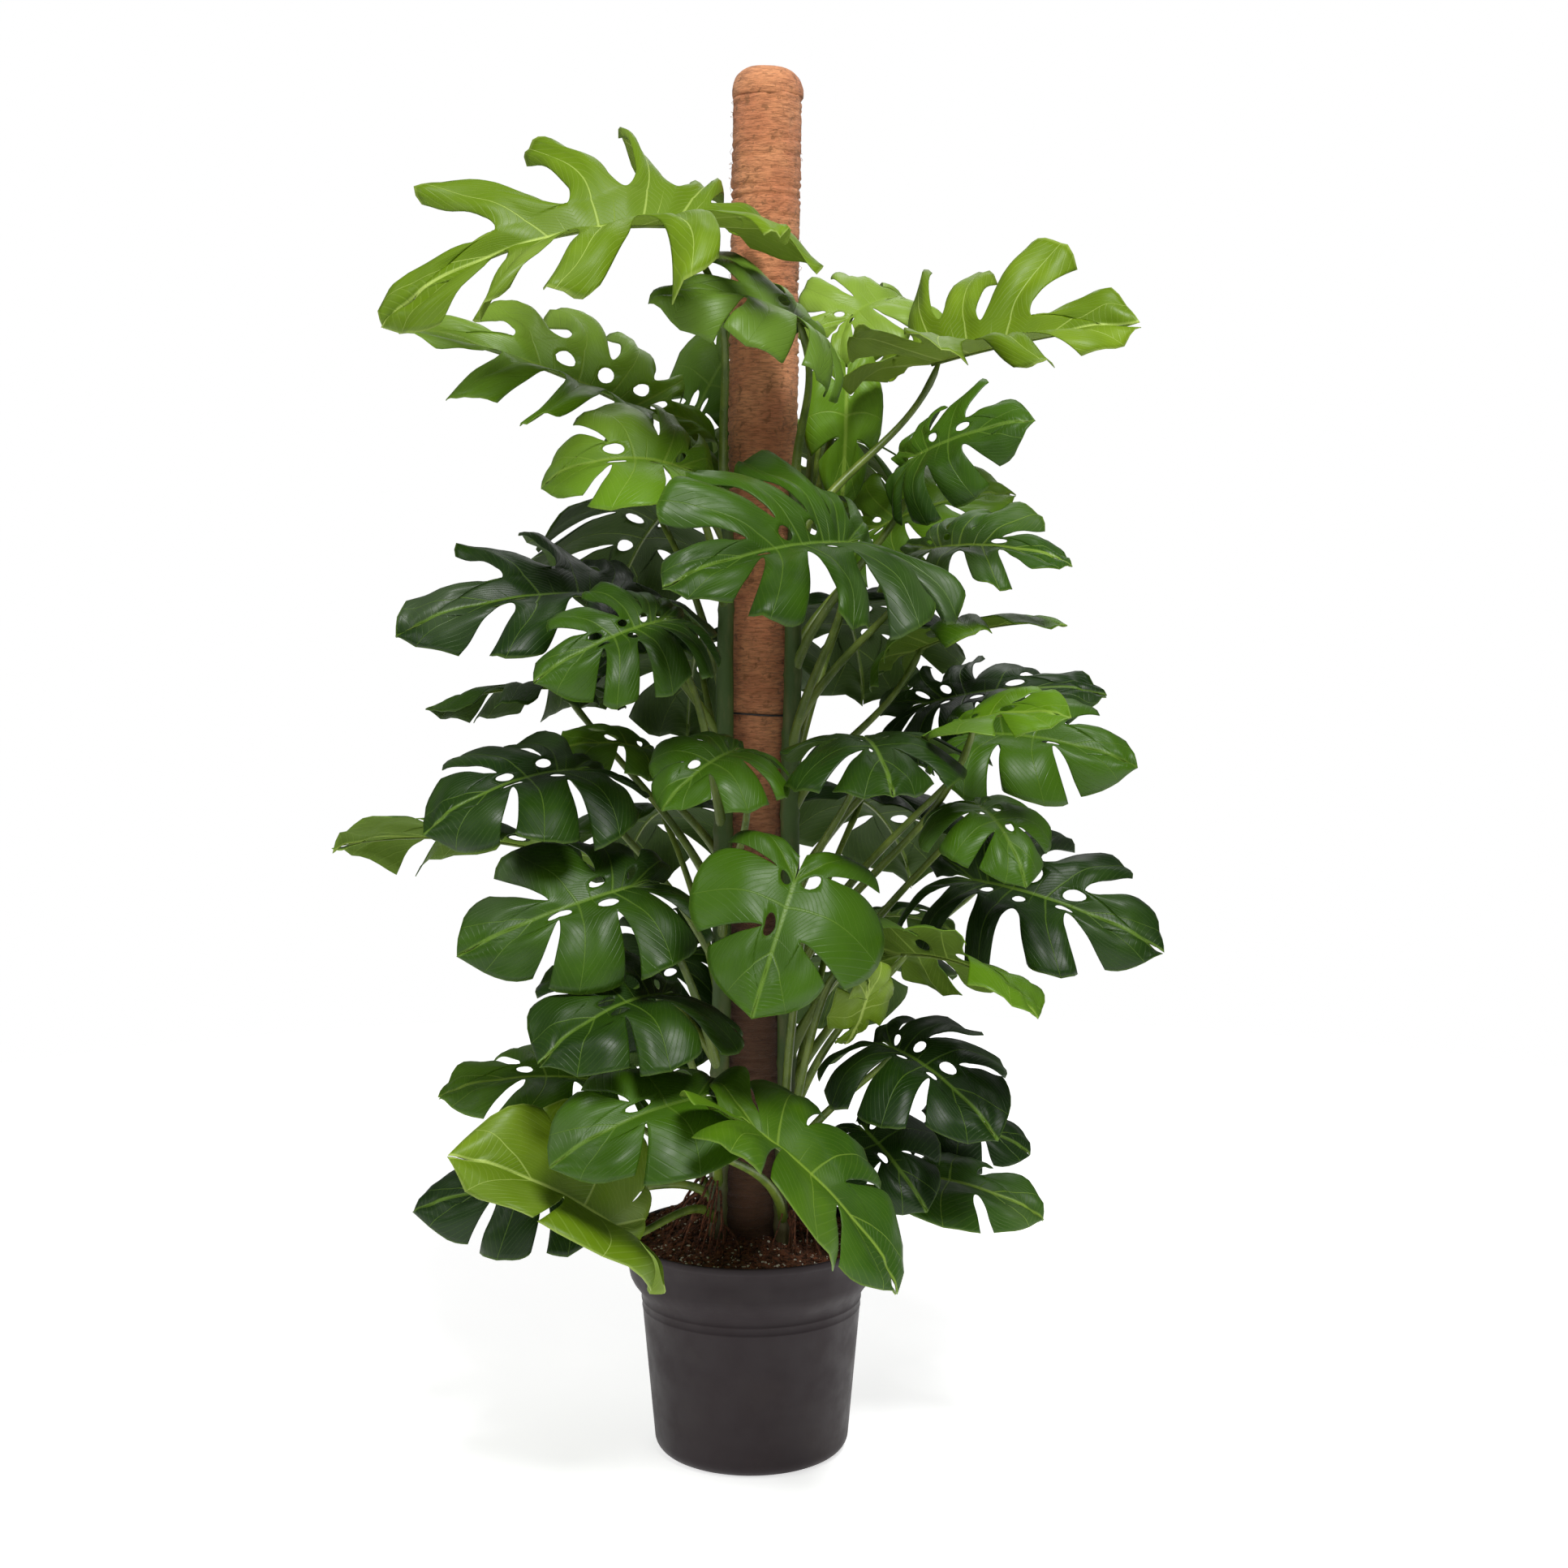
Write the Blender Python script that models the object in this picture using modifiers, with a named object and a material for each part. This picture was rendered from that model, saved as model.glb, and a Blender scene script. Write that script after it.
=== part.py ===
"""Swiss cheese plant on a coir pole, standing in a plastic nursery pot.

Metres, +Z up. The pot's flat foot stands on z = 0 and the pot's axis is the Z axis.
Each leaf is one solid: a cut blade with its stalk, held by one of four climbing stems.
"""
import math
import random
from collections import namedtuple

import bmesh
import bpy
from mathutils import Vector

GAP = 0.0003

# Nursery pot
POT_RIM_RADIUS = 0.135
POT_STEP_RADIUS = 0.118
POT_FOOT_RADIUS = 0.104
POT_HEIGHT = 0.234
POT_WALL = 0.0022
POT_FLOOR = 0.003
COLLAR_HEIGHT = 0.058
FOOT_ROUND = 0.016
DRAIN_COUNT = 6
DRAIN_RADIUS = 0.006
DRAIN_CIRCLE = 0.070
LATHE_STEPS = 24
SHARP_ANGLE = math.radians(50.0)

# Soil
SOIL_EDGE = 0.222
SOIL_CROWN = 0.232

# Coir pole
POLE_RADIUS = 0.035
POLE_TOP = 1.420
CAP_HEIGHT = 0.030
PIPE_RADIUS = 0.022
PIPE_WALL = 0.002
POLE_FOOT = 0.020
POLE_LEAN = 0.018
LEAN_START = 0.240
POLE_STEPS = 16
TIE_HEIGHT = 0.790
TIE_WIDTH = 0.003
TIE_THICKNESS = 0.0012

# Climbing stems: azimuth in degrees and height of the tip
STEM_CIRCLE = 0.049
STEM_RADIUS = 0.0105
STEM_TIP_RADIUS = 0.0065
STEM_FOOT = 0.130
STEMS = (
    ("stem_1", 225.0, 1.010),
    ("stem_2", 315.0, 1.040),
    ("stem_3", 45.0, 0.960),
    ("stem_4", 135.0, 0.930),
)

# Leaf blades, as shares of the midrib's length
BLADE_THICKNESS = 0.0012
MARGIN = (
    (-0.24, 0.02), (-0.36, 0.20), (-0.28, 0.45), (0.03, 0.60),
    (0.42, 0.56), (0.78, 0.34), (1.00, 0.00),
)
VEIN_START = 0.28
VEIN_END = 0.66
LOBE_SWEEP = 0.18
LOBE_POINT = 0.84
SHOULDER_DROP = 0.15
POINT_DROP = 0.05
CUT_BULGE = 1.32
CUT_OPENING = 0.24
CUT_FLARE = 0.10
SINUS_DEPTH = 0.40
TIP_DEPTH = 0.50

# Ranges that each leaf draws from: where a cut starts and how wide it is, how far a lobe
# reaches, droops and twists, how much the blade folds up and sags
CUT_SHIFT = (-0.018, 0.018)
CUT_DEPTH = (0.18, 0.34)
CUT_WIDTH = (0.020, 0.034)
LOBE_DROOP = (0.02, 0.18)
LOBE_TWIST = (-0.14, 0.14)
LOBE_REACH = (0.88, 1.04)
BLADE_FOLD = (0.12, 0.36)
BLADE_SAG = (0.45, 0.90)
BASE_SAG = 0.30

# Stalks
STALK_BASE_RADIUS = 0.0055
STALK_TOP_RADIUS = 0.0036
STALK_END_RADIUS = 0.0011
NODE_SPACING = 0.020
STALK_STATIONS = (0.0, 0.30, 0.56, 0.78, 0.94, 1.0)
STALK_PLACE = 0.05
STALK_PULL = 0.40
STALK_SIDES = 4

Leaf = namedtuple("Leaf", "name attach tip face lobes width cut bend roll fold tone")

# name, where the stalk meets the blade, tip, direction the upper face looks,
# lobes a side, width, width of the cuts, bend and roll in degrees, extra fold, tone
LEAVES = (
    Leaf("leaf_01", (-0.055, -0.175, 1.265), (-0.350, -0.190, 1.170), (-0.15, -0.70, 0.70),
         6, 0.98, 1.5, 55, -40, 0.38, "young"),
    Leaf("leaf_02", (-0.110, 0.000, 1.100), (-0.365, -0.060, 1.185), (0.00, -0.55, 0.80),
         6, 1.00, 1.3, 20, -10, 0.35, "fresh"),
    Leaf("leaf_03", (0.055, -0.145, 1.175), (-0.095, -0.195, 1.195), (0.00, -0.55, 0.80),
         4, 1.15, 0.7, 60, -10, 0.06, "dark"),
    Leaf("leaf_04", (0.105, 0.130, 1.210), (0.185, 0.230, 1.220), (0.30, -0.40, 0.80),
         4, 1.10, 0.9, 85, 5, 0.14, "fresh"),
    Leaf("leaf_05", (0.185, 0.000, 1.150), (0.390, -0.080, 1.185), (0.00, -0.56, 0.82),
         5, 1.20, 1.4, 10, 30, 0.50, "young"),
    Leaf("leaf_06", (0.165, -0.160, 1.050), (0.270, -0.230, 1.080), (0.10, -0.85, 0.50),
         4, 1.15, 1.0, 30, 10, 0.06, "dark"),
    Leaf("leaf_07", (0.100, 0.020, 1.125), (0.095, 0.030, 1.000), (0.10, -1.00, 0.10),
         3, 0.70, 0.8, 30, 0, 0.14, "fresh"),
    Leaf("leaf_08", (0.095, -0.180, 0.965), (-0.075, -0.320, 0.925), (-0.10, -0.80, 0.60),
         6, 1.30, 0.7, 30, -10, 0.20, "dark"),
    Leaf("leaf_09", (0.185, -0.070, 0.960), (0.320, -0.130, 0.945), (0.00, -0.60, 0.80),
         5, 1.15, 1.1, 35, 10, 0.14, "fresh"),
    Leaf("leaf_10", (0.140, 0.065, 0.985), (0.285, 0.085, 1.020), (-0.20, -0.60, 0.70),
         4, 1.15, 1.0, 35, 5, 0.14, "fresh"),
    Leaf("leaf_11", (-0.070, -0.125, 1.040), (-0.205, -0.140, 1.020), (-0.20, -0.70, 0.70),
         4, 1.30, 0.6, 70, -5, 0.14, "fresh"),
    Leaf("leaf_12", (-0.130, -0.050, 0.910), (-0.350, -0.130, 0.875), (0.00, -0.55, 0.83),
         5, 1.15, 1.4, 40, -35, 0.10, "dark"),
    Leaf("leaf_13", (-0.085, -0.195, 0.890), (-0.200, -0.255, 0.835), (-0.10, -0.80, 0.60),
         5, 1.20, 0.8, 35, -15, 0.06, "dark"),
    Leaf("leaf_14", (-0.200, 0.100, 0.810), (-0.350, 0.060, 0.790), (0.00, 0.15, 1.00),
         4, 1.20, 1.3, 25, 10, 0.06, "dark"),
    Leaf("leaf_15", (-0.115, 0.020, 0.750), (-0.195, -0.050, 0.755), (0.00, -0.50, 0.80),
         3, 1.15, 1.0, 30, 0, 0.14, "fresh"),
    Leaf("leaf_16", (-0.175, -0.120, 0.740), (-0.315, -0.200, 0.685), (-0.20, -0.60, 0.75),
         4, 1.25, 0.8, 45, -10, 0.06, "dark"),
    Leaf("leaf_17", (-0.210, 0.020, 0.640), (-0.440, -0.010, 0.650), (0.00, 0.25, 1.00),
         4, 0.95, 1.2, 25, 15, 0.14, "fresh"),
    Leaf("leaf_18", (-0.115, -0.175, 0.630), (-0.280, -0.225, 0.570), (0.20, -0.70, 0.60),
         4, 1.10, 0.8, 30, -30, 0.06, "dark"),
    Leaf("leaf_19", (-0.085, -0.185, 0.525), (-0.195, -0.295, 0.480), (-0.20, -0.70, 0.70),
         4, 1.35, 0.5, 50, 0, 0.06, "dark"),
    Leaf("leaf_20", (0.045, -0.275, 0.650), (0.005, -0.330, 0.530), (0.00, -0.95, 0.30),
         3, 1.40, 0.6, 25, 5, 0.06, "dark"),
    Leaf("leaf_21", (0.115, -0.170, 0.775), (0.135, -0.320, 0.735), (0.00, -0.35, 0.93),
         4, 1.20, 0.4, 30, 0, 0.06, "dark"),
    Leaf("leaf_22", (0.195, 0.090, 0.795), (0.385, 0.080, 0.805), (0.00, -0.50, 0.85),
         5, 1.15, 1.1, 30, 10, 0.06, "dark"),
    Leaf("leaf_23", (0.215, -0.205, 0.795), (0.300, -0.290, 0.805), (0.00, -0.60, 0.80),
         3, 0.90, 0.9, 25, 20, 0.14, "fresh"),
    Leaf("leaf_24", (0.245, -0.040, 0.770), (0.395, -0.080, 0.740), (0.00, -0.70, 0.70),
         4, 1.10, 1.0, 35, 20, 0.06, "dark"),
    Leaf("leaf_25", (0.225, -0.175, 0.710), (0.265, -0.250, 0.640), (0.20, -0.75, 0.60),
         4, 1.20, 0.6, 60, 0, 0.06, "dark"),
    Leaf("leaf_26", (0.235, -0.020, 0.615), (0.425, -0.080, 0.550), (0.10, -0.75, 0.65),
         5, 1.15, 1.4, 35, 20, 0.06, "dark"),
    Leaf("leaf_27", (0.140, 0.070, 0.565), (0.225, 0.110, 0.540), (0.00, 0.50, 0.80),
         3, 1.15, 0.8, 30, 0, 0.06, "dark"),
    Leaf("leaf_28", (0.150, -0.155, 0.560), (0.275, -0.275, 0.520), (0.30, 0.30, 0.80),
         4, 0.90, 1.0, 45, 30, 0.14, "fresh"),
    Leaf("leaf_29", (0.115, -0.195, 0.525), (0.095, -0.135, 0.465), (0.40, -0.80, 0.30),
         3, 0.85, 0.2, 20, 10, 0.10, "young"),
    Leaf("leaf_30", (0.170, -0.020, 0.855), (0.325, -0.050, 0.885), (-0.10, 0.10, 1.00),
         4, 1.15, 1.3, 30, 10, 0.14, "fresh"),
    Leaf("leaf_31", (-0.015, -0.200, 0.765), (-0.080, -0.265, 0.715), (-0.10, -0.60, 0.80),
         4, 1.40, 0.5, 40, 5, 0.06, "dark"),
    Leaf("leaf_32", (-0.050, -0.245, 0.435), (-0.185, -0.310, 0.385), (0.00, -0.70, 0.70),
         3, 1.08, 0.5, 50, -20, 0.06, "dark"),
    Leaf("leaf_33", (-0.135, -0.190, 0.295), (-0.285, -0.260, 0.385), (0.10, -0.55, 0.80),
         3, 1.10, 0.3, 30, -20, 0.60, "young"),
    Leaf("leaf_34", (-0.175, 0.100, 0.375), (-0.345, 0.070, 0.365), (0.00, -0.40, 0.90),
         4, 1.10, 1.1, 35, -10, 0.14, "fresh"),
    Leaf("leaf_35", (-0.195, -0.030, 0.295), (-0.355, -0.050, 0.270), (0.00, -0.60, 0.70),
         4, 1.05, 1.1, 35, -10, 0.06, "dark"),
    Leaf("leaf_36", (0.010, -0.275, 0.410), (0.145, -0.295, 0.260), (0.51, -0.37, 0.60),
         4, 1.00, 0.5, 35, 20, 0.30, "fresh"),
    Leaf("leaf_37", (0.145, -0.105, 0.455), (0.245, -0.205, 0.385), (0.20, -0.70, 0.65),
         4, 1.20, 0.7, 45, 15, 0.06, "dark"),
    Leaf("leaf_38", (0.210, 0.020, 0.350), (0.300, 0.010, 0.315), (0.00, -0.60, 0.80),
         3, 1.25, 0.9, 45, 10, 0.06, "dark"),
    Leaf("leaf_39", (0.180, -0.060, 0.310), (0.305, -0.080, 0.270), (0.00, -0.45, 0.80),
         3, 1.00, 0.9, 35, 10, 0.14, "fresh"),
    Leaf("leaf_40", (0.120, -0.070, 0.360), (0.180, -0.140, 0.295), (0.10, -0.80, 0.50),
         3, 1.20, 0.6, 40, 5, 0.06, "dark"),
    Leaf("leaf_41", (-0.075, 0.080, 0.520), (-0.185, 0.060, 0.430), (-0.10, -0.80, 0.50),
         4, 1.45, 0.5, 35, -5, 0.06, "dark"),
    Leaf("leaf_42", (-0.030, 0.125, 1.165), (-0.085, 0.150, 1.035), (-0.40, -0.70, 0.40),
         3, 1.00, 0.9, 30, 5, 0.06, "dark"),
    Leaf("leaf_43", (0.075, 0.160, 1.080), (0.050, 0.310, 0.990), (0.20, 0.85, 0.50),
         4, 1.40, 0.7, 35, 0, 0.14, "fresh"),
    Leaf("leaf_44", (-0.100, 0.170, 1.000), (-0.170, 0.310, 0.880), (-0.30, 0.80, 0.50),
         4, 1.40, 0.7, 35, 0, 0.06, "dark"),
    Leaf("leaf_45", (0.100, 0.170, 0.900), (0.130, 0.330, 0.780), (0.20, 0.80, 0.55),
         4, 1.40, 0.7, 40, 10, 0.06, "dark"),
    Leaf("leaf_46", (-0.060, 0.150, 0.860), (-0.080, 0.330, 0.740), (-0.10, 0.80, 0.55),
         4, 1.40, 0.7, 35, 0, 0.06, "dark"),
    Leaf("leaf_47", (0.120, 0.190, 0.680), (0.190, 0.350, 0.560), (0.30, 0.70, 0.55),
         4, 1.40, 0.7, 40, -10, 0.06, "dark"),
    Leaf("leaf_48", (-0.100, 0.170, 0.670), (-0.160, 0.320, 0.560), (-0.30, 0.70, 0.60),
         4, 1.40, 0.7, 45, 0, 0.06, "dark"),
    Leaf("leaf_49", (0.080, 0.160, 0.510), (0.120, 0.320, 0.390), (0.10, 0.80, 0.55),
         4, 1.40, 0.7, 45, 10, 0.06, "dark"),
    Leaf("leaf_50", (-0.090, 0.160, 0.450), (-0.160, 0.310, 0.340), (-0.20, 0.75, 0.60),
         4, 1.40, 0.7, 50, 0, 0.06, "dark"),
)

COLOURS = {
    "pot_plastic": (0.035, 0.033, 0.035, 1.0),
    "potting_soil": (0.070, 0.035, 0.022, 1.0),
    "coir_fibre": (0.420, 0.190, 0.080, 1.0),
    "pipe_plastic": (0.120, 0.120, 0.120, 1.0),
    "tie_wire": (0.020, 0.020, 0.020, 1.0),
    "green_stem": (0.120, 0.200, 0.060, 1.0),
    "leaf_dark": (0.020, 0.095, 0.025, 1.0),
    "leaf_fresh": (0.055, 0.190, 0.030, 1.0),
    "leaf_young": (0.150, 0.360, 0.030, 1.0),
}


def clear_scene():
    for obj in list(bpy.data.objects):
        bpy.data.objects.remove(obj, do_unlink=True)


def make_material(name, roughness):
    """A plain Principled material in one of the colours above."""
    material = bpy.data.materials.new(name)
    material.use_nodes = True
    shader = material.node_tree.nodes["Principled BSDF"]
    shader.inputs["Base Color"].default_value = COLOURS[name]
    shader.inputs["Roughness"].default_value = roughness
    material.diffuse_color = COLOURS[name]
    return material


def make_collection(name):
    collection = bpy.data.collections.new(name)
    bpy.context.scene.collection.children.link(collection)
    return collection


def add_object(name, mesh, collection, material=None):
    obj = bpy.data.objects.new(name, mesh)
    collection.objects.link(obj)
    if material is not None:
        mesh.materials.clear()
        mesh.materials.append(material)
    return obj


def hide_cutter(obj):
    obj.hide_render = True
    obj.display_type = "WIRE"


def pole_lean(z):
    """Sideways shift of the pole's axis at height z: over the soil it leans a little to +X."""
    return POLE_LEAN * max(0.0, z - LEAN_START) / (POLE_TOP - LEAN_START)


def lathe(name, profile, steps, collection, material=None, ring=False):
    """A solid of revolution about Z from (radius, height) points; a ring's profile closes on itself."""
    mesh = bpy.data.meshes.new(name)
    points = [(radius, 0.0, height) for radius, height in profile]
    edges = [(i, i + 1) for i in range(len(points) - 1)]
    if ring:
        edges.append((len(points) - 1, 0))
    mesh.from_pydata(points, edges, [])
    obj = add_object(name, mesh, collection, material)
    screw = obj.modifiers.new("turn", "SCREW")
    screw.axis = "Z"
    screw.steps = steps
    screw.render_steps = steps
    screw.use_merge_vertices = True
    screw.merge_threshold = 0.00001
    return obj


def lean_with_pole(obj):
    """Bakes the modifiers and shifts every vertex sideways with the pole's lean."""
    depsgraph = bpy.context.evaluated_depsgraph_get()
    mesh = bpy.data.meshes.new_from_object(obj.evaluated_get(depsgraph))
    obj.modifiers.clear()
    for vertex in mesh.vertices:
        vertex.co.x += pole_lean(vertex.co.z)
    obj.data = mesh
    return obj


def cut(obj, cutter, name="cut"):
    boolean = obj.modifiers.new(name, "BOOLEAN")
    boolean.operation = "DIFFERENCE"
    boolean.solver = "EXACT"
    boolean.object = cutter
    return boolean


def tube(name, points, radii, sides, collection):
    """A capped tube through the points, with its own radius at each of them."""
    curve = bpy.data.curves.new(name, "CURVE")
    curve.dimensions = "3D"
    curve.bevel_depth = 1.0
    curve.bevel_resolution = sides // 2 - 2
    curve.use_fill_caps = True
    spline = curve.splines.new("POLY")
    spline.points.add(len(points) - 1)
    for spot, point, radius in zip(spline.points, points, radii):
        spot.co = (point[0], point[1], point[2], 1.0)
        spot.radius = radius
    drawn = add_object(name, curve, collection)
    depsgraph = bpy.context.evaluated_depsgraph_get()
    mesh = bpy.data.meshes.new_from_object(drawn.evaluated_get(depsgraph))
    bpy.data.objects.remove(drawn, do_unlink=True)
    weld(mesh)
    return add_object(name, mesh, collection)


def weld(mesh):
    """Joins the doubled vertices and turns every face outward."""
    bm = bmesh.new()
    bm.from_mesh(mesh)
    bmesh.ops.remove_doubles(bm, verts=bm.verts, dist=0.00002)
    bmesh.ops.recalc_face_normals(bm, faces=bm.faces)
    bm.to_mesh(mesh)
    bm.free()
    mesh.shade_smooth()
    mesh.set_sharp_from_angle(angle=SHARP_ANGLE)


# Pot, soil and pole

def pot_outline():
    """The pot's outer side from the rim down to the middle of its underside."""
    step = POT_HEIGHT - COLLAR_HEIGHT
    return [
        (POT_RIM_RADIUS - 0.0010, POT_HEIGHT),
        (POT_RIM_RADIUS, POT_HEIGHT - 0.0012),
        (POT_RIM_RADIUS, POT_HEIGHT - 0.006),
        (POT_RIM_RADIUS - 0.0020, POT_HEIGHT - 0.009),
        (POT_RIM_RADIUS - 0.0045, step + 0.020),
        (POT_RIM_RADIUS - 0.0075, step + 0.010),
        (POT_STEP_RADIUS + 0.0010, step),
        (POT_STEP_RADIUS, step - 0.003),
        (POT_FOOT_RADIUS, FOOT_ROUND),
        (POT_FOOT_RADIUS - 0.005, 0.005),
        (POT_FOOT_RADIUS - FOOT_ROUND, 0.0),
        (0.0, 0.0),
    ]


def inner_radius(height):
    """Radius of the pot's inner wall at a height over its floor."""
    step = POT_HEIGHT - COLLAR_HEIGHT
    places = (
        (FOOT_ROUND, POT_FOOT_RADIUS),
        (step - 0.003, POT_STEP_RADIUS),
        (step + 0.010, POT_RIM_RADIUS - 0.0080),
        (step + 0.020, POT_RIM_RADIUS - 0.0055),
        (POT_HEIGHT, POT_RIM_RADIUS - 0.0020),
    )
    height = min(max(height, places[0][0]), places[-1][0])
    for (low, r_low), (high, r_high) in zip(places, places[1:]):
        if height <= high:
            share = (height - low) / (high - low)
            return r_low + share * (r_high - r_low) - POT_WALL
    return places[-1][1] - POT_WALL


def make_pot(collection, cutters, material):
    step = POT_HEIGHT - COLLAR_HEIGHT
    inner = [(0.0, POT_FLOOR), (POT_FOOT_RADIUS - FOOT_ROUND, POT_FLOOR)]
    for height in (FOOT_ROUND, step - 0.003, step + 0.010, step + 0.020, POT_HEIGHT - 0.001):
        inner.append((inner_radius(height), height))
    pot = lathe("pot", inner + pot_outline(), LATHE_STEPS, collection, material)
    for i in range(DRAIN_COUNT):
        angle = math.tau * (i + 0.4) / DRAIN_COUNT
        spot = (DRAIN_CIRCLE * math.cos(angle), DRAIN_CIRCLE * math.sin(angle))
        drill = tube(f"drain_{i + 1}", [(*spot, -0.01), (*spot, 0.01)], [DRAIN_RADIUS] * 2, 8, cutters)
        hide_cutter(drill)
        cut(pot, drill, f"drain_{i + 1}")
    return pot


def make_soil(collection, cutters, material):
    step = POT_HEIGHT - COLLAR_HEIGHT
    side = []
    for height in (SOIL_EDGE, step + 0.020, step + 0.010, step - 0.003, FOOT_ROUND):
        side.append((inner_radius(height) - GAP, height))
    foot = POT_FLOOR + GAP
    profile = [(0.0, SOIL_CROWN), (0.075, SOIL_CROWN - 0.001), (0.112, SOIL_CROWN - 0.005)]
    profile += side
    profile += [(POT_FOOT_RADIUS - FOOT_ROUND - 0.001, foot), (0.0, foot)]
    soil = lathe("soil", profile, LATHE_STEPS, collection, material)
    wide = POLE_RADIUS + GAP
    deep = POLE_FOOT - GAP
    drill = lathe("pole_hole", [(0.0, 0.3), (wide, 0.3), (wide, deep), (0.0, deep)], POLE_STEPS, cutters)
    hide_cutter(drill)
    cut(soil, drill, "pole_hole")
    for name, azimuth, _ in STEMS:
        axis = stem_axis(azimuth)
        points = [axis(z) for z in (STEM_FOOT - GAP, LEAN_START)]
        drill = tube(f"{name}_hole", points, [STEM_RADIUS + GAP] * 2, 8, cutters)
        hide_cutter(drill)
        cut(soil, drill, f"{name}_hole")
    return soil


def sleeve(name, inner, outer, collection, material):
    """A tube the full length of the pole, with a ring of vertices where the lean starts."""
    top = POLE_TOP - GAP
    profile = [
        (outer, top), (outer, LEAN_START), (outer, POLE_FOOT),
        (inner, POLE_FOOT), (inner, LEAN_START), (inner, top),
    ]
    return lathe(name, profile, POLE_STEPS, collection, material, ring=True)


def make_pole(collection, materials):
    """The plastic pipe, the coir wound on it, the domed cap and the tie."""
    inner = PIPE_RADIUS - PIPE_WALL
    lean_with_pole(sleeve("pole_pipe", inner, PIPE_RADIUS, collection, materials["pipe_plastic"]))
    lean_with_pole(sleeve("coir_wrap", PIPE_RADIUS + GAP, POLE_RADIUS, collection, materials["coir_fibre"]))
    edge = POLE_RADIUS + 0.0015
    cap = [
        (0.0, POLE_TOP + CAP_HEIGHT), (0.60 * edge, POLE_TOP + 0.86 * CAP_HEIGHT),
        (0.92 * edge, POLE_TOP + 0.50 * CAP_HEIGHT), (edge, POLE_TOP + 0.14 * CAP_HEIGHT),
        (POLE_RADIUS - 0.001, POLE_TOP), (0.0, POLE_TOP),
    ]
    lean_with_pole(lathe("coir_cap", cap, POLE_STEPS, collection, materials["coir_fibre"]))
    near = POLE_RADIUS + GAP
    far = near + TIE_THICKNESS
    low = TIE_HEIGHT - TIE_WIDTH / 2
    high = TIE_HEIGHT + TIE_WIDTH / 2
    band = [(far, high), (far, low), (near, low), (near, high)]
    lean_with_pole(lathe("pole_tie", band, POLE_STEPS, collection, materials["tie_wire"], ring=True))


# Stems

def stem_axis(azimuth):
    """The stem's centre line as a function of height; it follows the leaning pole."""
    angle = math.radians(azimuth)
    out = Vector((math.cos(angle), math.sin(angle), 0.0))

    def at(z):
        return out * STEM_CIRCLE + Vector((pole_lean(z), 0.0, z))

    return at


def make_stem(name, azimuth, top, extra, collection):
    """A climbing stem; extra makes it thicker, for cutting the stalks that clasp it."""
    axis = stem_axis(azimuth)
    heights = [STEM_FOOT, LEAN_START, 0.65, top - 0.05, top + extra]
    radii = [STEM_RADIUS, STEM_RADIUS, 0.95 * STEM_RADIUS, 0.8 * STEM_RADIUS, STEM_TIP_RADIUS]
    return tube(name, [axis(z) for z in heights], [r + extra for r in radii], 8, collection)


# Leaves

def smooth_margin(t):
    """Point on the half blade's outline: t runs from the sinus (0) round to the tip (1)."""
    spans = len(MARGIN) - 1
    place = min(max(t, 0.0), 1.0) * spans
    i = min(int(place), spans - 1)
    s = place - i
    points = [Vector(MARGIN[min(max(k, 0), spans)]) for k in (i - 1, i, i + 1, i + 2)]
    if i == 0:
        points[0] = 2 * points[1] - points[2]
    if i == spans - 1:
        points[3] = 2 * points[2] - points[1]
    a, b, c, d = points
    return 0.5 * (2 * b + (c - a) * s + (2 * a - 5 * b + 4 * c - d) * s ** 2
                  + (3 * b - a - 3 * c + d) * s ** 3)


def vein_base(t):
    """Where on the midrib the side vein of outline place t leaves it."""
    share = max(0.0, (t - VEIN_START) / (1.0 - VEIN_START))
    return VEIN_END * share ** 1.5


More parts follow.
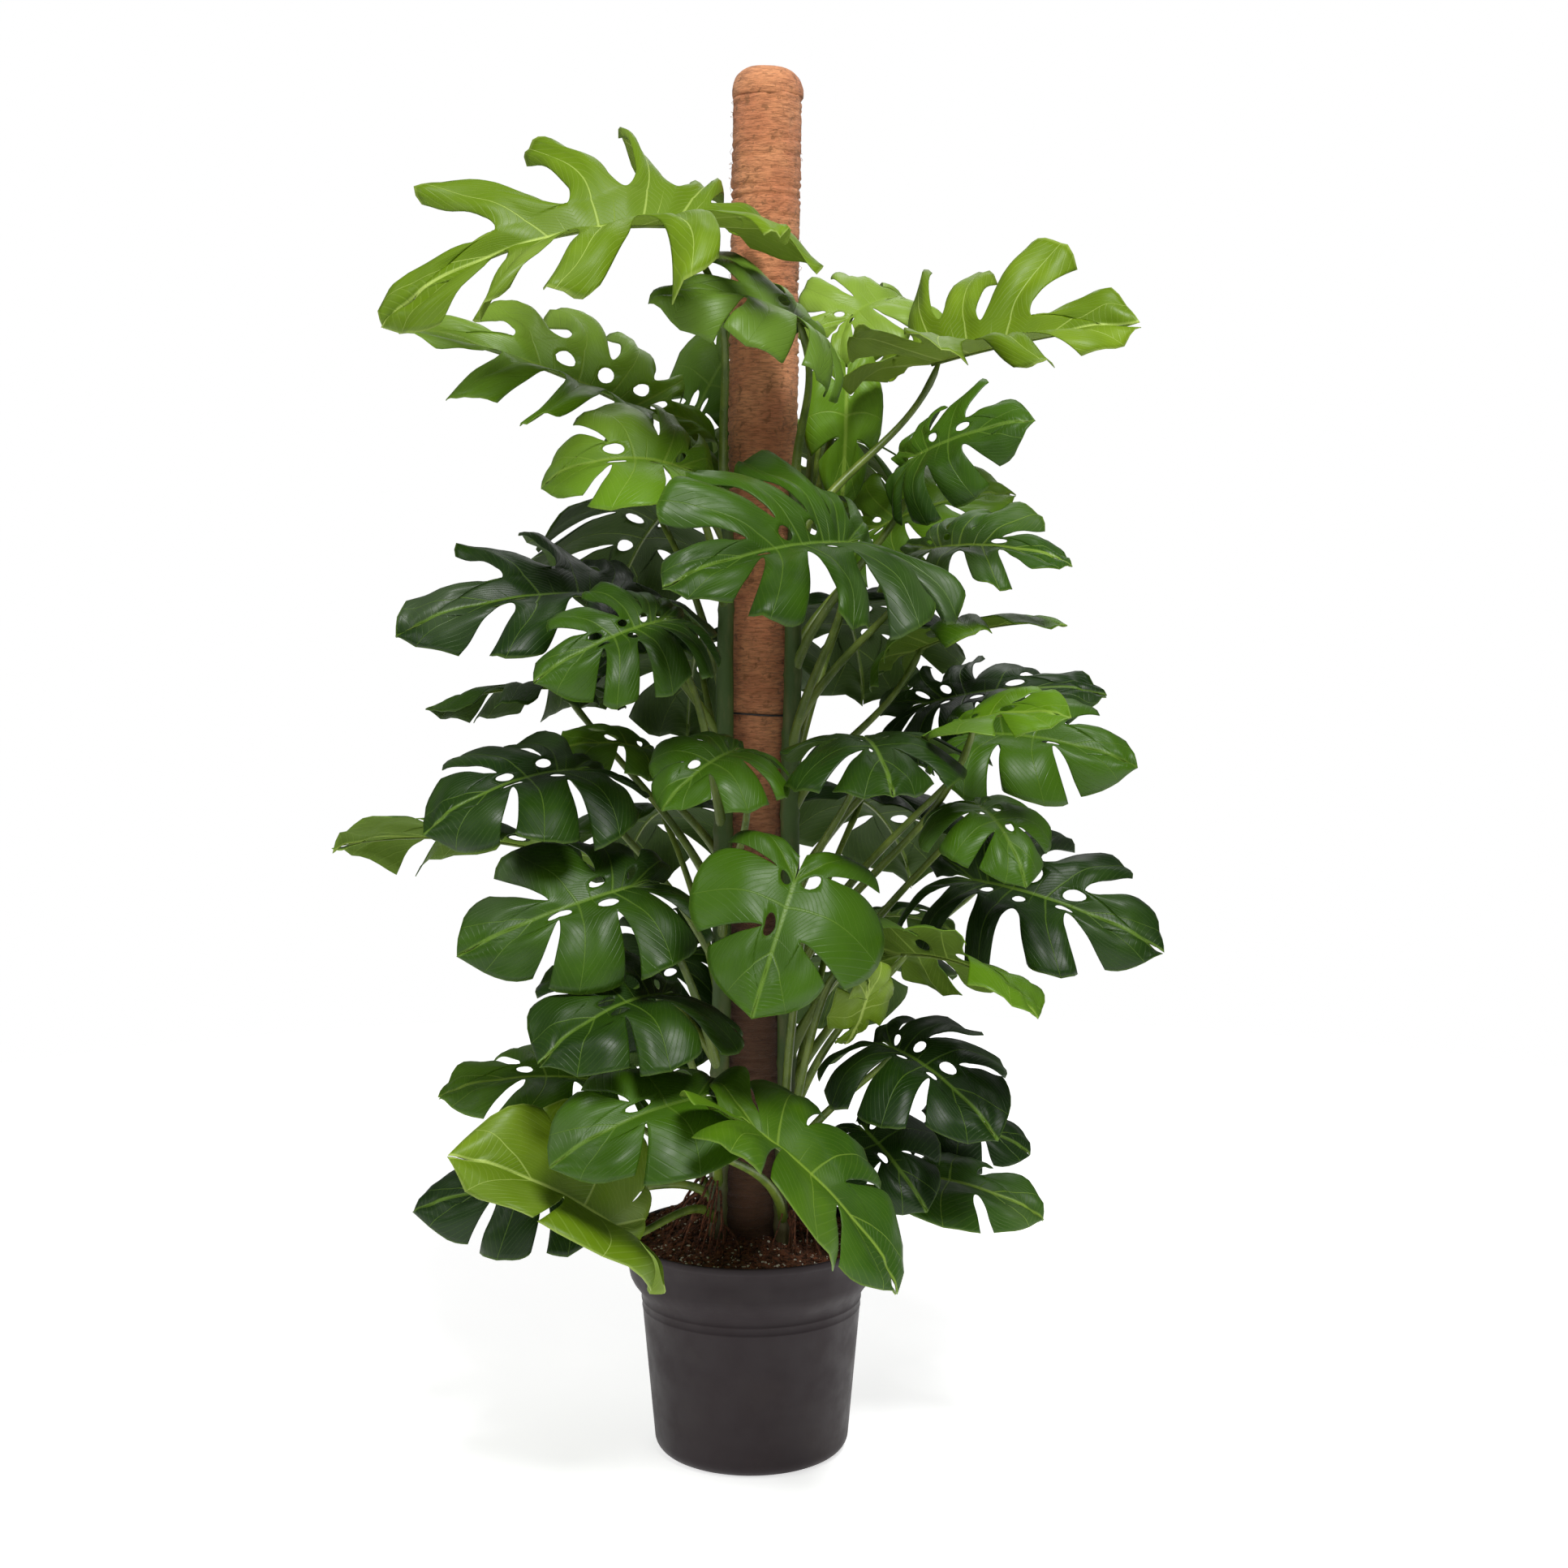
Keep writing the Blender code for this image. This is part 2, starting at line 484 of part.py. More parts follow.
class BladePlan:
    """The cuts and lobes of one blade, drawn from the leaf's own seed."""

    def __init__(self, leaf):
        draw = random.Random(leaf.name)
        count = leaf.lobes
        first = 0.45 - 0.02 * count
        last = 0.66 + 0.035 * count
        inner = [first + k * (last - first) / (count - 2) for k in range(count - 1)]
        self.leaf = leaf
        self.bounds = [0.0] + inner + [1.0]
        self.sides = {}
        for side in (-1, 1):
            shift = [0.0] + [draw.uniform(*CUT_SHIFT) for _ in inner] + [0.0]
            depth = [SINUS_DEPTH] + [draw.uniform(*CUT_DEPTH) for _ in inner] + [TIP_DEPTH]
            gap = [0.0] + [leaf.cut * draw.uniform(*CUT_WIDTH) for _ in inner] + [0.0]
            droop = [draw.uniform(*LOBE_DROOP) for _ in range(count)]
            twist = [draw.uniform(*LOBE_TWIST) for _ in range(count)]
            reach = [draw.uniform(*LOBE_REACH) for _ in range(count)]
            self.sides[side] = (shift, depth, gap, droop, twist, reach)
        self.fold = draw.uniform(*BLADE_FOLD) + leaf.fold
        self.sag = max(0.2, draw.uniform(*BLADE_SAG) - leaf.fold)

    def flat(self, side, lobe, c, rho):
        """Point of the flat blade: c across the lobe, rho 0 to 1 to its root, 1 to 2 to its end."""
        shift, depth, gap, _, _, reach = self.sides[side]
        x = max(0.0, rho - 1.0)
        opening = math.sqrt(1.0 - (1.0 - min(x / CUT_OPENING, 1.0)) ** 2) * (1.0 + CUT_FLARE * x * x)
        low = self.bounds[lobe] + shift[lobe] + gap[lobe] * opening
        high = self.bounds[lobe + 1] + shift[lobe + 1] - gap[lobe + 1] * opening
        base = vein_base(self.bounds[lobe] + c * (self.bounds[lobe + 1] - self.bounds[lobe]))
        root = depth[lobe] + c * (depth[lobe + 1] - depth[lobe])
        end = 1.0
        if lobe < self.leaf.lobes - 1:
            if c > LOBE_POINT:
                end = reach[lobe] - POINT_DROP * (c - LOBE_POINT) / (1.0 - LOBE_POINT)
            else:
                drop = SHOULDER_DROP if lobe > 0 else 0.2 * SHOULDER_DROP
                off = 1.0 - c / LOBE_POINT
                end = reach[lobe] - drop * (1.0 - math.sqrt(max(0.0, 1.0 - off * off)))
        else:
            end = 1.0 - 0.16 * (1.0 - c) ** 3
        r = root * min(rho, 1.0) + x * (end - root)
        start = Vector((base, 0.0))
        stop = smooth_margin(low + c * (high - low))
        middle = (start + stop) / 2 - Vector((LOBE_SWEEP * stop.y, 0.0))
        point = (1 - r) ** 2 * start + 2 * r * (1 - r) * middle + r ** 2 * stop
        return Vector((point.x, point.y * self.leaf.width / 1.2))

    def lift(self, side, lobe, c, rho, point):
        """Height of the blade over its flat plane, in shares of its length."""
        _, _, _, droop, twist, _ = self.sides[side]
        x = max(0.0, rho - 1.0)
        u, v = point
        height = self.fold * v - self.sag * v * v
        height -= BASE_SAG * min(u, 0.0) ** 2
        height -= droop[lobe] * x * x * min(1.0, v / 0.2)
        height += twist[lobe] * (c - 0.5) * x * min(1.0, v / 0.2)
        return height


class BladeFrame:
    """Puts a blade's own (along, across, up) shares into the world, bent along its midrib."""

    def __init__(self, leaf):
        attach = Vector(leaf.attach)
        chord = Vector(leaf.tip) - attach
        along = chord.normalized()
        face = Vector(leaf.face)
        normal = (face - face.dot(along) * along).normalized()
        self.bend = math.radians(leaf.bend)
        self.roll = math.radians(leaf.roll)
        self.origin = attach
        self.along = along
        self.normal = normal
        self.across = normal.cross(along)
        self.length = chord.length * (self.bend / 2) / math.sin(self.bend / 2)

    def world(self, u, v, height):
        start = self.bend / 2
        s = max(u, 0.0)
        angle = start - self.bend * s
        forward = (math.sin(start) - math.sin(angle)) / self.bend + min(u, 0.0) * math.cos(start)
        rise = (math.cos(angle) - math.cos(start)) / self.bend + min(u, 0.0) * math.sin(start)
        turn = self.roll * (min(s, 1.0) - 0.5)
        side = v * math.cos(turn) - height * math.sin(turn)
        lifted = v * math.sin(turn) + height * math.cos(turn)
        forward -= lifted * math.sin(angle)
        rise += lifted * math.cos(angle)
        offset = forward * self.along + rise * self.normal + side * self.across
        return self.origin + self.length * offset


def blade_mesh(leaf):
    """The blade as one open sheet, cut between its lobes, triangulated."""
    plan = BladePlan(leaf)
    frame = BladeFrame(leaf)
    bm = bmesh.new()

    def corner(side, lobe, c, rho):
        point = plan.flat(side, lobe, c, rho)
        height = plan.lift(side, lobe, c, rho, point)
        return bm.verts.new(frame.world(point.x, side * point.y, height))

    def face(corners, side):
        order = corners if side > 0 else corners[::-1]
        bm.faces.new(order)

    for side in (-1, 1):
        for lobe in range(leaf.lobes):
            columns = 2 if lobe == 0 else 1
            for column in range(columns):
                left = column / columns
                right = (column + 1) / columns
                peak = left + LOBE_POINT * (right - left)
                root = [(left, 0.0), (right, 0.0), (right, 1.0), (left, 1.0)]
                end = [(left, 1.0), (right, 1.0), (right, 2.0), (peak, 2.0), (left, 2.0)]
                if right == 1.0 and lobe < leaf.lobes - 1:
                    end.insert(2, (right, CUT_BULGE))
                if left == 0.0 and lobe > 0:
                    end.append((left, CUT_BULGE))
                for corners in (root, end):
                    face([corner(side, lobe, c, rho) for c, rho in corners], side)
    bmesh.ops.remove_doubles(bm, verts=bm.verts, dist=0.00005)
    bmesh.ops.dissolve_degenerate(bm, edges=bm.edges, dist=0.00005)
    bmesh.ops.triangulate(bm, faces=bm.faces)
    mesh = bpy.data.meshes.new(leaf.name)
    bm.to_mesh(mesh)
    bm.free()
    mesh.shade_smooth()
    return mesh


def stem_for(leaf):
    """The stem that stands nearest to the leaf's stalk end, in azimuth."""
    angle = math.atan2(leaf.attach[1], leaf.attach[0] - pole_lean(leaf.attach[2]))

    def turn(stem):
        return abs(math.remainder(angle - math.radians(stem[1]), math.tau))

    return min(STEMS, key=turn)


def stalk_reach(leaf):
    """Where the stalk enters the blade, and how far that is from its stem, level."""
    attach = BladeFrame(leaf).world(STALK_PLACE, 0.0, 0.0)
    axis = stem_axis(stem_for(leaf)[1])
    return attach, (attach - axis(attach.z)).to_2d().length


def stalk_feet():
    """Height at which each leaf leaves its stem: long stalks start lower, all NODE_SPACING apart."""
    feet = {}
    for stem in STEMS:
        wanted = []
        for leaf in LEAVES:
            if stem_for(leaf) == stem:
                attach, reach = stalk_reach(leaf)
                rise = 0.08 + 1.1 * max(0.0, reach - 0.05)
                wanted.append((min(attach.z - rise, stem[2] - 0.012), leaf.name))
        wanted.sort(reverse=True)
        heights = []
        for height, _ in wanted:
            heights.append(min(height, heights[-1] - NODE_SPACING) if heights else height)
        floor = SOIL_CROWN + 0.018
        for i in reversed(range(len(heights))):
            heights[i] = max(heights[i], floor)
            floor = heights[i] + NODE_SPACING
        feet.update({name: height for height, (_, name) in zip(heights, wanted)})
    return feet


def stalk_path(leaf, foot_height):
    """Centre line of the stalk, from inside its stem up into the blade beside the sinus."""
    frame = BladeFrame(leaf)
    attach, _ = stalk_reach(leaf)
    foot = stem_axis(stem_for(leaf)[1])(foot_height)
    outward = attach - foot
    outward.z = 0.0
    outward.normalize()
    up = Vector((0.0, 0.0, 1.0))
    arrive = (0.55 * frame.along + 0.60 * frame.normal + 0.35 * up).normalized()
    pull = STALK_PULL * (attach - foot).length
    leave = (0.45 * outward + 0.90 * up).normalized()
    first = foot + pull * leave
    second = attach - pull * arrive
    path = []
    for t in STALK_STATIONS:
        low = (1 - t) ** 3 * foot + 3 * t * (1 - t) ** 2 * first
        path.append(low + 3 * t * t * (1 - t) * second + t ** 3 * attach)
    return path


def make_leaf(leaf, foot_height, collection, cutters, stem_cutters, material):
    """Blade and stalk as one solid, the stalk ending just off its stem."""
    obj = add_object(leaf.name, blade_mesh(leaf), collection, material)
    shell = obj.modifiers.new("thickness", "SOLIDIFY")
    shell.thickness = BLADE_THICKNESS
    shell.offset = 0.0
    path = stalk_path(leaf, foot_height)
    radii = [STALK_BASE_RADIUS + (STALK_TOP_RADIUS - STALK_BASE_RADIUS) * min(1.0, 1.4 * t)
             for t in STALK_STATIONS]
    radii[-1] = STALK_END_RADIUS
    stalk = tube(f"{leaf.name}_stalk", path, radii, STALK_SIDES, cutters)
    hide_cutter(stalk)
    cut(stalk, stem_cutters[stem_for(leaf)[0]], "stem")
    joint = obj.modifiers.new("stalk", "BOOLEAN")
    joint.operation = "UNION"
    joint.solver = "EXACT"
    joint.object = stalk
    return obj


def main():
    clear_scene()
    plant = make_collection("swiss_cheese_plant")
    cutters = make_collection("cutters")
    roughness = {
        "pot_plastic": 0.6, "potting_soil": 0.95, "coir_fibre": 0.95, "pipe_plastic": 0.5,
        "tie_wire": 0.5, "green_stem": 0.5, "leaf_dark": 0.35, "leaf_fresh": 0.38, "leaf_young": 0.4,
    }
    materials = {name: make_material(name, value) for name, value in roughness.items()}
    make_pot(plant, cutters, materials["pot_plastic"])
    make_soil(plant, cutters, materials["potting_soil"])
    make_pole(plant, materials)
    stem_cutters = {}
    for name, azimuth, top in STEMS:
        stem = make_stem(name, azimuth, top, 0.0, plant)
        stem.data.materials.append(materials["green_stem"])
        stem_cutters[name] = make_stem(f"{name}_clasp", azimuth, top, GAP, cutters)
        hide_cutter(stem_cutters[name])
    feet = stalk_feet()
    for leaf in LEAVES:
        make_leaf(leaf, feet[leaf.name], plant, cutters, stem_cutters, materials[f"leaf_{leaf.tone}"])


if __name__ == "__main__":
    main()
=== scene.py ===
"""Looks of the potted swiss cheese plant: fine leaves, stalks, coir, soil and pot.

Every node but the hidden pole_pipe is replaced by a finer piece of the same form; loose coir
fibres, soil crumbs, perlite grains and fine roots are added. Metres, +Z up.
"""
from bisect import bisect_right
from collections import namedtuple
from functools import partial
from math import atan2, cos, exp, hypot, pi, radians, remainder, sin, sqrt, tau
from random import Random

import bmesh
import bpy
from mathutils import Matrix, Vector
from mathutils.noise import noise


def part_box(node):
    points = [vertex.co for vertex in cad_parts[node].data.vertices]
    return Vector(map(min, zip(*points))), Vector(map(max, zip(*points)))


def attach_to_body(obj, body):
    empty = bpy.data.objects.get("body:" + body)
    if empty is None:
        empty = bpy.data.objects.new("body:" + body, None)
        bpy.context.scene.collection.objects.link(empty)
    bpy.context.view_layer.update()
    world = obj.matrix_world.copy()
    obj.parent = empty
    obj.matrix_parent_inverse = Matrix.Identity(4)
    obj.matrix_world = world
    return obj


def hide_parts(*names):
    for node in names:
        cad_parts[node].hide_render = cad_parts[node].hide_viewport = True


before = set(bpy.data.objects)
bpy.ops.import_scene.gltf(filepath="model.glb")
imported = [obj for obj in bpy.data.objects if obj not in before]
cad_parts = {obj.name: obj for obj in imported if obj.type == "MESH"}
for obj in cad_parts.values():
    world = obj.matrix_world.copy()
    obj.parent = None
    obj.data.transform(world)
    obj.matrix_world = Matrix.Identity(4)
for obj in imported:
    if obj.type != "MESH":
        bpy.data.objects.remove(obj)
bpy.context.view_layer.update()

# Camera, as the photograph was taken: 53 mm lens, 2.43 m off, tilted down a little
CAMERA_PLACE = (0.035, -2.433, 0.947)
CAMERA_TILT = 5.45
CAMERA_LENS = 53.4

# Light: the backdrop's strength, the dimmer light it gives, and the lamps: name, place, size, power
BACKDROP_STRENGTH = 1.0
AMBIENT_STRENGTH = 0.2
LIGHTS = (
    ("key", (0.6, -2.4, 3.6), 1.3, 140.0),
    ("fill", (-2.6, -1.6, 1.9), 1.4, 18.0),
    ("back", (0.5, 2.2, 3.0), 2.0, 15.0),
)
FLOOR_RADIUS = 2.4
FLOOR_GLOW = 0.68

# Pole and stems, as in the frame: a stem's azimuth in degrees and the height of its tip. Its radii
# are a little smaller here, because the nodes swell it
POLE_LEAN = 0.018
LEAN_START = 0.24
POLE_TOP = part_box("coir_cap")[0].z
SOIL_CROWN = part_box("soil")[1].z
STEM_CIRCLE = 0.049
STEMS = (
    ("stem_1", 225.0, 1.01),
    ("stem_2", 315.0, 1.04),
    ("stem_3", 45.0, 0.96),
    ("stem_4", 135.0, 0.93),
)
STEM_RADIUS = 0.0102
STEM_TIP_RADIUS = 0.0062
TAPER_START = 0.65

# Leaf blades, as in the frame, in shares of the midrib's length
MARGIN = (
    (-0.24, 0.02), (-0.36, 0.2), (-0.28, 0.45), (0.03, 0.6),
    (0.42, 0.56), (0.78, 0.34), (1.00, 0.00),
)
VEIN_START = 0.28
VEIN_END = 0.66
LOBE_SWEEP = 0.18
LOBE_POINT = 0.84
SHOULDER_DROP = 0.15
POINT_DROP = 0.05
CUT_OPENING = 0.24
CUT_FLARE = 0.1
SINUS_DEPTH = 0.4
TIP_DEPTH = 0.5
CUT_SHIFT = (-0.018, 0.018)
CUT_DEPTH = (0.18, 0.34)
CUT_WIDTH = (0.02, 0.034)
LOBE_DROOP = (0.02, 0.18)
LOBE_TWIST = (-0.14, 0.14)
LOBE_REACH = (0.88, 1.04)
BLADE_FOLD = (0.12, 0.36)
BLADE_SAG = (0.45, 0.9)
BASE_SAG = 0.3
FREE_WIDTH = 0.2

# Fine relief of a blade: pleat, droop of a lobe's edges and wave of its margin as shares of the
# midrib's length, the groove over a side vein in metres, and where the two veins cross a lobe
PLEAT = 0.014
EDGE_DROP = 0.018
MARGIN_WAVE = 0.05
GROOVE_DEPTH = 0.0012
GROOVE_WIDTH = 0.0045
LOBE_VEIN = 0.6
SECOND_VEIN = 0.25
BLADE_THICKNESS = 0.0009

# Grid of a blade: columns across a lobe, rows from the midrib to the cuts and on to the margin;
# holes beside the midrib: how often, then place, half width and half length on that grid
LOBE_COLUMNS = 10
INNER_ROWS = 8
OUTER_ROWS = 18
HOLE_CHANCE = 0.55
HOLE_RANGES = ((0.44, 0.56), (0.16, 0.24), (0.18, 0.3))

# Paleness of the leaves: painted shade near the pole, paler over one height, less under another
POLE_PAINTED_SHADE = 0.25
PAINTED_SHADE_START = 0.06
PAINTED_SHADE_WIDTH = 0.22
YOUTH_START = 0.95
YOUTH_RISE = 6.0
AGE_START = 0.5
AGE_FALL = 2.2

# Stalks, which leave their stem lower the longer they are, and midribs
STALK_BASE_RADIUS = 0.0052
STALK_TOP_RADIUS = 0.0034
STALK_STATIONS = 22
STALK_PLACE = 0.05
STALK_PULL = 0.4
STALK_RISE = 0.08
NEAR_REACH = 0.05
RISE_PER_REACH = 1.1
NODE_SPACING = 0.02
NODE_SWELL = 0.004
RIB_RADIUS = 0.0019
RIB_DROP = 0.0009
RIB_STATIONS = 16
TOP_SLOT, UNDER_SLOT, STALK_SLOT = range(3)

# Coir: spacing of the turns, depth and width of the grooves between them, and the same for the two
# deep grooves under the cap
COIR_PITCH = (0.006, 0.016)
COIR_GROOVE = (0.0006, 0.0028)
GROOVE_SHARE = 0.09
DEEP_GROOVES = (1.318, 1.3265)
DEEP_GROOVE_DEPTH = 0.003
DEEP_GROOVE_WIDTH = 0.0016
COIR_ROWS = 560
COIR_STEPS = 80
CAP_ROWS = 14
CAP_EDGE = 0.004
FIBRE_COUNT = 700

# Pot, as in the frame: its step and foot are smaller than the rim by their insets
POT_STEPS = 128
POT_WALL = 0.0022
COLLAR_HEIGHT = 0.058
STEP_INSET = 0.0168
FOOT_INSET = 0.031
FOOT_ROUND = 0.016
RING_DROPS = (0.01, 0.019)
DRAIN_COUNT = 6
DRAIN_RADIUS = 0.006
DRAIN_CIRCLE = 0.07

# Soil, with a mound round the stems; its grains: piece, number, sizes and material
SOIL_ROWS = 44
SOIL_STEPS = 120
SOIL_REACH = 0.13
MOUND_PLACE = (-0.042, 0.03)
MOUND_HEIGHT = 0.03
MOUND_SPREAD = 0.004
GRAINS = (
    ("soil_crumbs", 1500, (0.001, 0.0034), "soil"),
    ("perlite_grains", 700, (0.0006, 0.0018), "perlite"),
)
ROOT_COUNT = 70
ROOT_POINTS = 9

# Leaf tones: deep, light and vein colour of the upper side and its roughness; colour of the
# underside and of its veins
LEAF_TONES = {
    "dark": (((0.007, 0.026, 0.001), (0.044, 0.112, 0.003), (0.11, 0.2, 0.02), 0.38),
             ((0.042, 0.088, 0.007), (0.11, 0.18, 0.02))),
    "fresh": (((0.026, 0.078, 0.002), (0.1, 0.215, 0.005), (0.23, 0.36, 0.04), 0.4),
              ((0.11, 0.19, 0.014), (0.23, 0.33, 0.05))),
    "young": (((0.115, 0.2, 0.004), (0.3, 0.45, 0.02), (0.47, 0.6, 0.14), 0.42),
              ((0.21, 0.32, 0.028), (0.36, 0.47, 0.09))),
}

Leaf = namedtuple("Leaf", "name attach tip face lobes width cut bend roll fold tone",
                  defaults=(0.06, "dark"))

# Leaves: number; where the stalk meets the blade, and the tip, in millimetres; direction the upper
# face looks; lobes a side, width, width of the cuts, bend and roll in degrees; fold and tone, where
# they aren't 0.06 and dark
LEAF_ROWS = (
    (1, (-55, -175, 1265), (-350, -190, 1170), (-0.15, -0.7, 0.7),
     6, 0.98, 1.5, 55, -40, 0.38, "young"),
    (2, (-110, 0, 1100), (-365, -60, 1185), (0, -0.55, 0.8), 6, 1, 1.3, 20, -10, 0.35, "fresh"),
    (3, (55, -145, 1175), (-95, -195, 1195), (0, -0.55, 0.8), 4, 1.15, 0.7, 60, -10),
    (4, (105, 130, 1210), (185, 230, 1220), (0.3, -0.4, 0.8), 4, 1.1, 0.9, 85, 5, 0.14, "fresh"),
    (5, (185, 0, 1150), (390, -80, 1185), (0, -0.56, 0.82), 5, 1.2, 1.4, 10, 30, 0.5, "young"),
    (6, (165, -160, 1050), (270, -230, 1080), (0.1, -0.85, 0.5), 4, 1.15, 1, 30, 10),
    (7, (100, 20, 1125), (95, 30, 1000), (0.1, -1, 0.1), 3, 0.7, 0.8, 30, 0, 0.14, "fresh"),
    (8, (95, -180, 965), (-75, -320, 925), (-0.1, -0.8, 0.6), 6, 1.3, 0.7, 30, -10, 0.2),
    (9, (185, -70, 960), (320, -130, 945), (0, -0.6, 0.8), 5, 1.15, 1.1, 35, 10, 0.14, "fresh"),
    (10, (140, 65, 985), (285, 85, 1020), (-0.2, -0.6, 0.7), 4, 1.15, 1, 35, 5, 0.14, "fresh"),
    (11, (-70, -125, 1040), (-205, -140, 1020), (-0.2, -0.7, 0.7),
     4, 1.3, 0.6, 70, -5, 0.14, "fresh"),
    (12, (-130, -50, 910), (-350, -130, 875), (0, -0.55, 0.83), 5, 1.15, 1.4, 40, -35, 0.1),
    (13, (-85, -195, 890), (-200, -255, 835), (-0.1, -0.8, 0.6), 5, 1.2, 0.8, 35, -15),
    (14, (-200, 100, 810), (-350, 60, 790), (0, 0.15, 1), 4, 1.2, 1.3, 25, 10),
    (15, (-115, 20, 750), (-195, -50, 755), (0, -0.5, 0.8), 3, 1.15, 1, 30, 0, 0.14, "fresh"),
    (16, (-175, -120, 740), (-315, -200, 685), (-0.2, -0.6, 0.75), 4, 1.25, 0.8, 45, -10),
    (17, (-210, 20, 640), (-440, -10, 650), (0, 0.25, 1), 4, 0.95, 1.2, 25, 15, 0.14, "fresh"),
    (18, (-115, -175, 630), (-280, -225, 570), (0.2, -0.7, 0.6), 4, 1.1, 0.8, 30, -30),
    (19, (-85, -185, 525), (-195, -295, 480), (-0.2, -0.7, 0.7), 4, 1.35, 0.5, 50, 0),
    (20, (45, -275, 650), (5, -330, 530), (0, -0.95, 0.3), 3, 1.4, 0.6, 25, 5),
    (21, (115, -170, 775), (135, -320, 735), (0, -0.35, 0.93), 4, 1.2, 0.4, 30, 0),
    (22, (195, 90, 795), (385, 80, 805), (0, -0.5, 0.85), 5, 1.15, 1.1, 30, 10),
    (23, (215, -205, 795), (300, -290, 805), (0, -0.6, 0.8), 3, 0.9, 0.9, 25, 20, 0.14, "fresh"),
    (24, (245, -40, 770), (395, -80, 740), (0, -0.7, 0.7), 4, 1.1, 1, 35, 20),
    (25, (225, -175, 710), (265, -250, 640), (0.2, -0.75, 0.6), 4, 1.2, 0.6, 60, 0),
    (26, (235, -20, 615), (425, -80, 550), (0.1, -0.75, 0.65), 5, 1.15, 1.4, 35, 20),
    (27, (140, 70, 565), (225, 110, 540), (0, 0.5, 0.8), 3, 1.15, 0.8, 30, 0),
    (28, (150, -155, 560), (275, -275, 520), (0.3, 0.3, 0.8), 4, 0.9, 1, 45, 30, 0.14, "fresh"),
    (29, (115, -195, 525), (95, -135, 465), (0.4, -0.8, 0.3), 3, 0.85, 0.2, 20, 10, 0.1, "young"),
    (30, (170, -20, 855), (325, -50, 885), (-0.1, 0.1, 1), 4, 1.15, 1.3, 30, 10, 0.14, "fresh"),
    (31, (-15, -200, 765), (-80, -265, 715), (-0.1, -0.6, 0.8), 4, 1.4, 0.5, 40, 5),
    (32, (-50, -245, 435), (-185, -310, 385), (0, -0.7, 0.7), 3, 1.08, 0.5, 50, -20),
    (33, (-135, -190, 295), (-285, -260, 385), (0.1, -0.55, 0.8),
     3, 1.1, 0.3, 30, -20, 0.6, "young"),
    (34, (-175, 100, 375), (-345, 70, 365), (0, -0.4, 0.9), 4, 1.1, 1.1, 35, -10, 0.14, "fresh"),
    (35, (-195, -30, 295), (-355, -50, 270), (0, -0.6, 0.7), 4, 1.05, 1.1, 35, -10),
    (36, (10, -275, 410), (145, -295, 260), (0.51, -0.37, 0.6), 4, 1, 0.5, 35, 20, 0.3, "fresh"),
    (37, (145, -105, 455), (245, -205, 385), (0.2, -0.7, 0.65), 4, 1.2, 0.7, 45, 15),
    (38, (210, 20, 350), (300, 10, 315), (0, -0.6, 0.8), 3, 1.25, 0.9, 45, 10),
    (39, (180, -60, 310), (305, -80, 270), (0, -0.45, 0.8), 3, 1, 0.9, 35, 10, 0.14, "fresh"),
    (40, (120, -70, 360), (180, -140, 295), (0.1, -0.8, 0.5), 3, 1.2, 0.6, 40, 5),
    (41, (-75, 80, 520), (-185, 60, 430), (-0.1, -0.8, 0.5), 4, 1.45, 0.5, 35, -5),
    (42, (-30, 125, 1165), (-85, 150, 1035), (-0.4, -0.7, 0.4), 3, 1, 0.9, 30, 5),
    (43, (75, 160, 1080), (50, 310, 990), (0.2, 0.85, 0.5), 4, 1.4, 0.7, 35, 0, 0.14, "fresh"),
    (44, (-100, 170, 1000), (-170, 310, 880), (-0.3, 0.8, 0.5), 4, 1.4, 0.7, 35, 0),
    (45, (100, 170, 900), (130, 330, 780), (0.2, 0.8, 0.55), 4, 1.4, 0.7, 40, 10),
    (46, (-60, 150, 860), (-80, 330, 740), (-0.1, 0.8, 0.55), 4, 1.4, 0.7, 35, 0),
    (47, (120, 190, 680), (190, 350, 560), (0.3, 0.7, 0.55), 4, 1.4, 0.7, 40, -10),
    (48, (-100, 170, 670), (-160, 320, 560), (-0.3, 0.7, 0.6), 4, 1.4, 0.7, 45, 0),
    (49, (80, 160, 510), (120, 320, 390), (0.1, 0.8, 0.55), 4, 1.4, 0.7, 45, 10),
    (50, (-90, 160, 450), (-160, 310, 340), (-0.2, 0.75, 0.6), 4, 1.4, 0.7, 50, 0),
)
LEAVES = [
    Leaf(f"leaf_{number:02d}", [x / 1000 for x in attach], [x / 1000 for x in tip], *rest)
    for number, attach, tip, *rest in LEAF_ROWS
]


# Shape of the leaves, by the same rules as in the frame

def around(radius, angle, z=0.0, x=0.0):
    """Point at an angle round the upright axis through x."""
    return Vector((x + radius * cos(angle), radius * sin(angle), z))


def swell(place, middle, width):
    """A soft bump of height 1 round a middle place."""
    return exp(-((place - middle) / width) ** 2)


def pole_lean(z):
    """Sideways shift of the pole's axis at height z."""
    return POLE_LEAN * max(0.0, z - LEAN_START) / (POLE_TOP - LEAN_START)


def stem_point(azimuth, z):
    """Point on the centre line of the stem at this azimuth."""
    return around(STEM_CIRCLE, radians(azimuth), z, pole_lean(z))


def smooth_margin(t):
    """Point on the half blade's outline: t runs from the sinus (0) round to the tip (1)."""
    spans = len(MARGIN) - 1
    place = min(max(t, 0.0), 1.0) * spans
    i = min(int(place), spans - 1)
    s = place - i
    points = [Vector(MARGIN[min(max(k, 0), spans)]) for k in (i - 1, i, i + 1, i + 2)]
    if i == 0:
        points[0] = 2 * points[1] - points[2]
    if i == spans - 1:
        points[3] = 2 * points[2] - points[1]
    a, b, c, d = points
    return 0.5 * (2 * b + (c - a) * s + (2 * a - 5 * b + 4 * c - d) * s ** 2
                  + (3 * b - a - 3 * c + d) * s ** 3)


